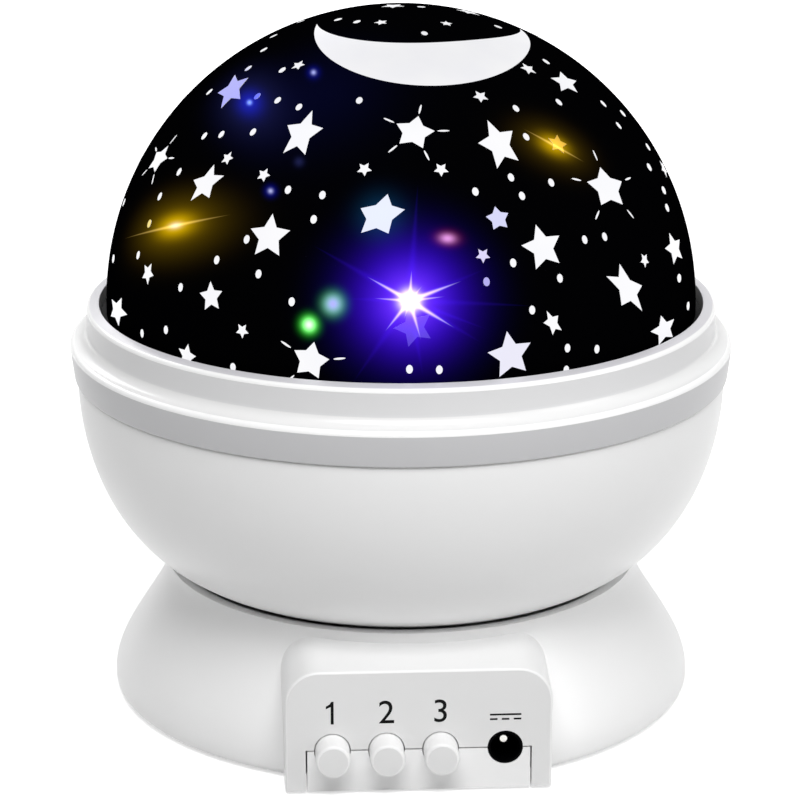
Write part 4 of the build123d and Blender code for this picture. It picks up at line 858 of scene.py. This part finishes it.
def tipAngle(sense):
    # where the outer rim, followed from the front, runs in under the inner one
    low, high = 0.0, pi
    for _ in range(moon["halvings"]):
        middle = (low + high) / 2
        point = rimPoint(moon["outer"], sense * middle - pi / 2)
        angle = rimAngle(moon["inner"], point)
        if rimFrame(moon["inner"])[2].angle(point) > rimHalf(moon["inner"], angle):
            low = middle
        else:
            high = middle
    return sense * low - pi / 2


def makeMoon():
    outerEnds = [tipAngle(sense) for sense in (-1, 1)]
    innerEnds = [rimAngle(moon["inner"], rimPoint(moon["outer"], angle)) for angle in outerEnds]
    centre = Vector((0, 0, dome["height"] * mm))
    reach = (dome["radius"] + windows["lift"]) * mm
    vertices, faces = [], []
    for step in range(moon["along"] + 1):
        share = step / moon["along"]
        outer = rimPoint(moon["outer"], outerEnds[0] + share * (outerEnds[1] - outerEnds[0]))
        inner = rimPoint(moon["inner"], innerEnds[0] + share * (innerEnds[1] - innerEnds[0]))
        for cross in range(moon["across"] + 1):
            way = outer.lerp(inner, cross / moon["across"]).normalized()
            vertices.append(centre + way * reach)
    width = moon["across"] + 1
    for step in range(moon["along"]):
        for cross in range(moon["across"]):
            corner = step * width + cross
            faces.append((corner, corner + 1, corner + width + 1, corner + width))
    piece = meshPiece("domeMoon", vertices, faces, [lensLit])
    thicken(piece.data, windows["thickness"] * mm, centre)
    smoothMesh(piece.data, crease["window"])
    seat(piece, "dome", "lens_milky")


makeMoon()
print("crescent filled")

# trim ring: half section as corners with edge rounds, and where its finishes change, millimetres
ring = {"section": [(62.75, 65.1, 0.1), (64.3, 65.1, 0.3), (65.09, 71.9, 0.85), (61.6, 71.9, 2.3),
                    (61.6, 78.7, 0.8), (59.1, 79.35, 0.2), (59.1, 72.2, 0), (55.8, 72.2, 0.15),
                    (55.8, 71.0, 0.15), (60.0, 71.0, 0), (60.0, 70.0, 0), (62.75, 70.0, 0)],
        "band": 64.25, "shoulder": (64.2, 71.0), "lipEdge": (60.75, 77.9), "wall": (61.5, 61.7),
        "wallFoot": 73.5, "lipSlope": 78.75, "segments": 288, "roundSteps": 6}


def ringFinish(lower, upper):
    # grey on the band's flat, part plastic and part painted shade; painted shade on the wall and the lip's
    # slope; a painted highlight with a brighter gloss on the outer edges
    x, z = (lower.x + upper.x) / 2, (lower.y + upper.y) / 2
    if any(x > ring[edge][0] and z > ring[edge][1] for edge in ("shoulder", "lipEdge")):
        return 2
    if ring["wall"][0] < x < ring["wall"][1] and ring["wallFoot"] < z < ring["lipEdge"][1]:
        return 3
    if z > ring["lipSlope"]:
        return 4
    return 1 if x > ring["band"] else 0


trimRing = lathe("trimRing", roundedProfile(ring["section"], ring["roundSteps"]),
                 [ringAbs, bandGreyAndShadeAbs, edgeHighlightAbs, wallShadeAbs, lipShadeAbs], ring["segments"], ringFinish)
seat(trimRing, "bowl", "ring_white", "trim_ring")
print("trim ring turned")

# bowl: outer and inner wall curves, rim with its spigot and shelf, and the hub on the spindle
bowl = {"outer": [(33, 24.2), (50.9, 24.2), (63.7, 42.0), (63.7, 64.8)],
        "inner": [(33, 26.2), (48.9, 26.2), (61.7, 42.0), (61.7, 64.8)],
        "rim": [(63.7, 64.8, 0.35), (62.6, 64.8, 0), (62.6, 70.0, 0), (60.4, 70.0, 0), (60.4, 69.8, 0),
                (57.8, 69.8, 0), (57.8, 67.8, 0)],
        "hub": [(11.06, 26.2, 0), (11.06, 36.2, 0.3), (8.06, 36.2, 0.2), (8.06, 22.2, 0.2),
                (11.06, 22.2, 0.3), (11.06, 24.2, 0)],
        "ribs": 6, "ribThickness": 1.6, "ribRoot": 10.5, "ribReach": 37.0, "ribFoot": 26.0, "ribHigh": 33.4,
        "ribLow": 27.7, "segments": 288, "curveSteps": 48, "roundSteps": 4}
bowlCorners = (curvePoints(bowl["outer"], bowl["curveSteps"])[:-1] + bowl["rim"]
               + curvePoints(bowl["inner"], bowl["curveSteps"])[::-1] + bowl["hub"])
bowlShell = lathe("bowlShell", roundedProfile(bowlCorners, bowl["roundSteps"]), [whiteAbs],
                  bowl["segments"])
seat(bowlShell, "bowl", "shell_white", "bowl_shell")


def makeRibs():
    # braces between the hub and the bowl's floor, one instance turned round the axis by the tree
    half = bowl["ribThickness"] / 2
    corners = [(bowl["ribRoot"], bowl["ribFoot"]), (bowl["ribReach"], bowl["ribFoot"]),
               (bowl["ribReach"], bowl["ribLow"]), (bowl["ribRoot"], bowl["ribHigh"])]
    vertices = [(r * mm, side * half * mm, z * mm) for side in (-1, 1) for r, z in corners]
    pattern = meshPiece("ribPattern", vertices, blockFaces, [whiteAbs])
    tree, given = startTree("ribRound", "NodeSocketInt", {"Rib Count": bowl["ribs"]})
    line = addNode(tree, "GeometryNodeMeshLine", {"Count": given["Rib Count"], "Offset": (0, 0, 0)})
    number = addNode(tree, "GeometryNodeInputIndex")
    step = addNode(tree, "ShaderNodeMath", {0: 2 * pi, 1: given["Rib Count"]}, operation="DIVIDE")
    angle = addNode(tree, "ShaderNodeMath", {0: number.outputs[0], 1: step.outputs[0]}, operation="MULTIPLY")
    turn = addNode(tree, "ShaderNodeCombineXYZ", {"Z": angle.outputs[0]})
    copies = addNode(tree, "GeometryNodeInstanceOnPoints", {"Points": line.outputs["Mesh"],
                                                            "Instance": given["Geometry"],
                                                            "Rotation": turn.outputs[0]})
    real = addNode(tree, "GeometryNodeRealizeInstances", {"Geometry": copies.outputs["Instances"]})
    endTree(tree, given, real.outputs["Geometry"])
    ribs = grown(pattern, tree, whiteAbs, "bowlRibs")
    faceOutwards(ribs.data)
    seat(ribs, "bowl", "shell_white")


makeRibs()
print("bowl turned")

# pieces that keep the frame's shape, shaded smooth: node, new name, finish, slot
smoothPieces = [
    ("base_shell", "baseShell", whiteAbs, "shell_white"),
    ("bottom_cover", "bottomCover", whiteAbs, "shell_white"),
    ("battery_door", "batteryDoor", whiteAbs, "shell_white"),
    ("reflector_dish", "reflectorDish", reflector, "dish_white"),
    ("light_holder", "lightHolder", whiteAbs, "shell_white"),
    ("button_a", "buttonOne", buttonAbs, "button_white"),
    ("button_b", "buttonTwo", buttonAbs, "button_white"),
    ("button_c", "buttonThree", buttonAbs, "button_white"),
    ("jack_housing", "jackHousing", socketBlack, "jack_black"),
    ("jack_pin", "jackPin", nickel, "steel"),
    ("feet", "feetPads", rubber, "foot_rubber"),
    ("aaa_cells", "aaaCells", jacket, "cell_jacket"),
    ("spindle", "spindleTube", nylon, "nylon"),
    ("gear_motor", "gearMotor", zincSteel, "steel"),
    ("motor_shaft", "motorShaft", nickel, "steel"),
    ("led_lead", "ledLead", leadBlack, "lead_jacket"),
    ("motor_lead", "motorLead", leadBlack, "lead_jacket"),
    ("battery_lead", "batteryLead", leadBlack, "lead_jacket"),
    ("base_screws", "baseScrews", zincSteel, "steel"),
    ("door_screw", "doorScrew", zincSteel, "steel"),
]
smoothPieces += [(led, "led" + led[len("led_"):].title(), finish, led)
                 for led, finish in ledFinishes.items()]
bodyOf = {node: body for body, members in frame["record"]["behaviour"]["bodies"].items()
          for node in members}
# forward-facing flats of the control pieces take the satin, its darker colour painted shade: places along Y,
# mm, that they lie in front of, and how nearly they face forward
shadedFronts = {"baseShell": -59.3, "buttonOne": -60.0, "buttonTwo": -60.0, "buttonThree": -60.0}
frontFacing = 0.98


# gives forward-facing flats the satin finish with its darker colour as painted shade
def paintFrontShade(piece, limit):
    piece.data.materials.append(faceSatinShadeAbs)
    for polygon in piece.data.polygons:
        if polygon.center.y < limit * mm and -polygon.normal.y > frontFacing:
            polygon.material_index = 1


for node, name, finish, slotName in smoothPieces:
    piece = smoothCopy(node, name, finish)
    if name in shadedFronts:
        paintFrontShade(piece, shadedFronts[name])
    seat(piece, bodyOf[node], slotName, node)

# nodes that stay as they are and only take a finish
plainNodes = [
    (nylon, ("bowl_gear", "drive_pinion", "thrust_washer")),
    (nickel, ("retaining_clip", "battery_contacts")),
    (zincSteel, ("spindle_screws", "gear_screws", "motor_screws", "board_screws")),
    (board, ("control_board", "light_board")),
    (socketBlack, ("switch_a", "switch_b", "switch_c")),
    (buttonAbs, ("switch_plunger_a", "switch_plunger_b", "switch_plunger_c")),
]
for finish, members in plainNodes:
    for node in members:
        mesh = nodes[node].data
        mesh.materials.clear()
        mesh.materials.append(finish)
print("frame nodes dressed")

# numerals over the buttons and the direct-current sign over the socket, pad printed
marks = {"numerals": [("1", -16.0), ("2", -6.0), ("3", 4.0)], "numeralFoot": 14.0, "numeralHeight": 4.5,
         "face": -59.6, "ink": 0.03, "signX": 16.0, "signZ": 14.8, "signWidth": 5.8, "dashShare": 0.24,
         "barHeight": 0.34, "barGap": 0.9}
# a plain figure one with a flag, in shares of its height, from the foot's left corner
figureOne = [(-0.06, 0), (0.06, 0), (0.06, 1), (-0.03, 1), (-0.11, 0.88), (-0.26, 0.79), (-0.26, 0.68),
             (-0.06, 0.77)]


def padInk():
    # dense black pad-printing ink, satin, with the slight unevenness of a hand-loaded pad
    material, tree, shader, place = newFinish("blackPadInk", {"Base Color": linearColour("#050505"),
                                                              "Specular IOR Level": 0.1})
    unevenGloss(tree, shader, place, cloudMm=1.0, low=0.4, high=0.6)
    return material


inkBlack = padInk()


def numeralMaker(text):
    # flat lettering lying in the XY plane: its own outline for the figure one, plain type for the others
    if text == "1":
        words = bpy.data.curves.new("figureOne", "CURVE")
        words.dimensions = "2D"
        words.fill_mode = "BOTH"
        outline = words.splines.new("POLY")
        outline.points.add(len(figureOne) - 1)
        for point, (x, y) in zip(outline.points, figureOne):
            point.co = (x, y, 0, 1)
        outline.use_cyclic_u = True
    else:
        words = bpy.data.curves.new("numeral" + text, "FONT")
        words.body = text
        words.align_x = "CENTER"
        words.size = 1.0
    words.extrude = marks["ink"] * mm
    maker = bpy.data.objects.new("numeralMaker", words)
    bpy.context.scene.collection.objects.link(maker)
    return maker


def printedNumeral(text, x):
    piece = plainMesh(numeralMaker(text), "numeral" + text)
    mesh = piece.data
    heights = [v.co.y for v in mesh.vertices]
    scale = marks["numeralHeight"] * mm / (max(heights) - min(heights))
    for v in mesh.vertices:
        v.co = (v.co.x * scale + x * mm, marks["face"] * mm - v.co.z,
                (v.co.y - min(heights)) * scale + marks["numeralFoot"] * mm)
    mesh.materials.clear()
    mesh.materials.append(inkBlack)
    seat(piece, "base", "jack_black")


def printedSign():
    # a long bar over three short ones
    bars = [(0.0, marks["signWidth"], marks["barGap"] / 2)]
    dash = marks["signWidth"] * marks["dashShare"]
    bars += [(side * (marks["signWidth"] - dash) / 2, dash, -marks["barGap"] / 2) for side in (-1, 0, 1)]
    vertices, faces = [], []
    for offset, width, rise in bars:
        start = len(vertices)
        middleX, middleZ = marks["signX"] + offset, marks["signZ"] + rise
        for y in (marks["face"] - marks["ink"], marks["face"] + marks["ink"]):
            for dx, dz in ((-1, -1), (1, -1), (1, 1), (-1, 1)):
                vertices.append(((middleX + dx * width / 2) * mm, y * mm,
                                 (middleZ + dz * marks["barHeight"] / 2) * mm))
        faces += [[start + corner for corner in side] for side in blockFaces]
    piece = meshPiece("powerSign", vertices, faces, [inkBlack])
    faceOutwards(piece.data)
    seat(piece, "base", "jack_black")


for text, x in marks["numerals"]:
    printedNumeral(text, x)
printedSign()
print("marks printed")

# studio: white floor and world, soft lights; the floor's own glow rises with the distance from the lamp
studio = {"floor": 4.0, "paper": "#F4F4F4", "bounce": "#D6D6D6", "world": 0.18, "nearGlow": 0.55,
          "farGlow": 1.0, "glowFrom": 0.3, "glowTo": 0.8}
# places and sizes in metres, power in watts
lamps = {
    "frontLight": {"place": (0.0, -0.6, 0.9), "target": (0, 0, 0.05), "size": (0.7, 0.5), "power": 8.2},
    "rightLight": {"place": (0.8, -0.45, 0.4), "target": (0, 0, 0.06), "size": (0.5, 0.6), "power": 1.8},
    "backLight": {"place": (-0.2, 0.8, 0.7), "target": (0, 0, 0.05), "size": (0.8, 0.5), "power": 4.0},
}


def seesWhite(tree):
    # 1 for the camera and for what shines in gloss or through glass, 0 for the light that falls on pieces
    ray = addNode(tree, "ShaderNodeLightPath")
    direct = addNode(tree, "ShaderNodeMath",
                     {0: ray.outputs["Is Camera Ray"], 1: ray.outputs["Is Glossy Ray"]}, operation="MAXIMUM")
    return addNode(tree, "ShaderNodeMath", {0: direct.outputs[0], 1: ray.outputs["Is Transmission Ray"]},
                   operation="MAXIMUM").outputs[0]


def makeFloor():
    # white paper that is seen as white far off too, throws back a plain grey, and is clear from below
    half = studio["floor"] / 2
    mesh = bpy.data.meshes.new("studioFloor")
    mesh.from_pydata([(-half, -half, 0), (half, -half, 0), (half, half, 0), (-half, half, 0)], [],
                     [(0, 1, 2, 3)])
    material = bpy.data.materials.new("whiteStudioPaper")
    material.use_nodes = True
    tree = material.node_tree
    tree.nodes.clear()
    paper = addNode(tree, "ShaderNodeBsdfDiffuse", {"Color": linearColour(studio["paper"])})
    place = addNode(tree, "ShaderNodeTexCoord").outputs["Object"]
    away = addNode(tree, "ShaderNodeVectorMath", {0: place}, operation="LENGTH")
    rise = addNode(tree, "ShaderNodeMapRange",
                   {"Value": away.outputs["Value"], "From Min": studio["glowFrom"],
                    "From Max": studio["glowTo"], "To Min": studio["nearGlow"], "To Max": studio["farGlow"]})
    glow = addNode(tree, "ShaderNodeEmission", {"Strength": rise.outputs["Result"]})
    lit = addNode(tree, "ShaderNodeAddShader", {0: paper.outputs[0], 1: glow.outputs[0]})
    dull = addNode(tree, "ShaderNodeBsdfDiffuse", {"Color": linearColour(studio["bounce"])})
    seen = addNode(tree, "ShaderNodeMixShader", {0: seesWhite(tree), 1: dull.outputs[0], 2: lit.outputs[0]})
    clear = addNode(tree, "ShaderNodeBsdfTransparent")
    below = addNode(tree, "ShaderNodeNewGeometry")
    side = addNode(tree, "ShaderNodeMixShader", {0: below.outputs["Backfacing"], 1: seen.outputs[0],
                                                 2: clear.outputs[0]})
    addNode(tree, "ShaderNodeOutputMaterial", {"Surface": side.outputs[0]})
    mesh.materials.append(material)
    floor = bpy.data.objects.new("studioFloor", mesh)
    bpy.context.scene.collection.objects.link(floor)


def makeWorld():
    world = bpy.data.worlds.new("whiteStudio")
    bpy.context.scene.world = world
    world.use_nodes = True
    tree = world.node_tree
    tree.nodes.clear()
    white = addNode(tree, "ShaderNodeBackground", {"Color": (1, 1, 1, 1), "Strength": 1.0})
    dim = addNode(tree, "ShaderNodeBackground", {"Color": (1, 1, 1, 1), "Strength": studio["world"]})
    seen = addNode(tree, "ShaderNodeMixShader", {0: seesWhite(tree), 1: dim.outputs[0], 2: white.outputs[0]})
    addNode(tree, "ShaderNodeOutputWorld", {"Surface": seen.outputs[0]})


def softLight(name, lamp):
    panel = bpy.data.lights.new(name, "AREA")
    panel.shape = "RECTANGLE"
    panel.size, panel.size_y = lamp["size"]
    panel.energy = lamp["power"]
    holder = bpy.data.objects.new(name, panel)
    holder.location = lamp["place"]
    way = Vector(lamp["target"]) - Vector(lamp["place"])
    holder.rotation_euler = way.to_track_quat("-Z", "Y").to_euler()
    bpy.context.scene.collection.objects.link(holder)


makeFloor()
makeWorld()
for name, lamp in lamps.items():
    softLight(name, lamp)
bpy.context.scene.view_settings.view_transform = "Standard"
print("studio lit")
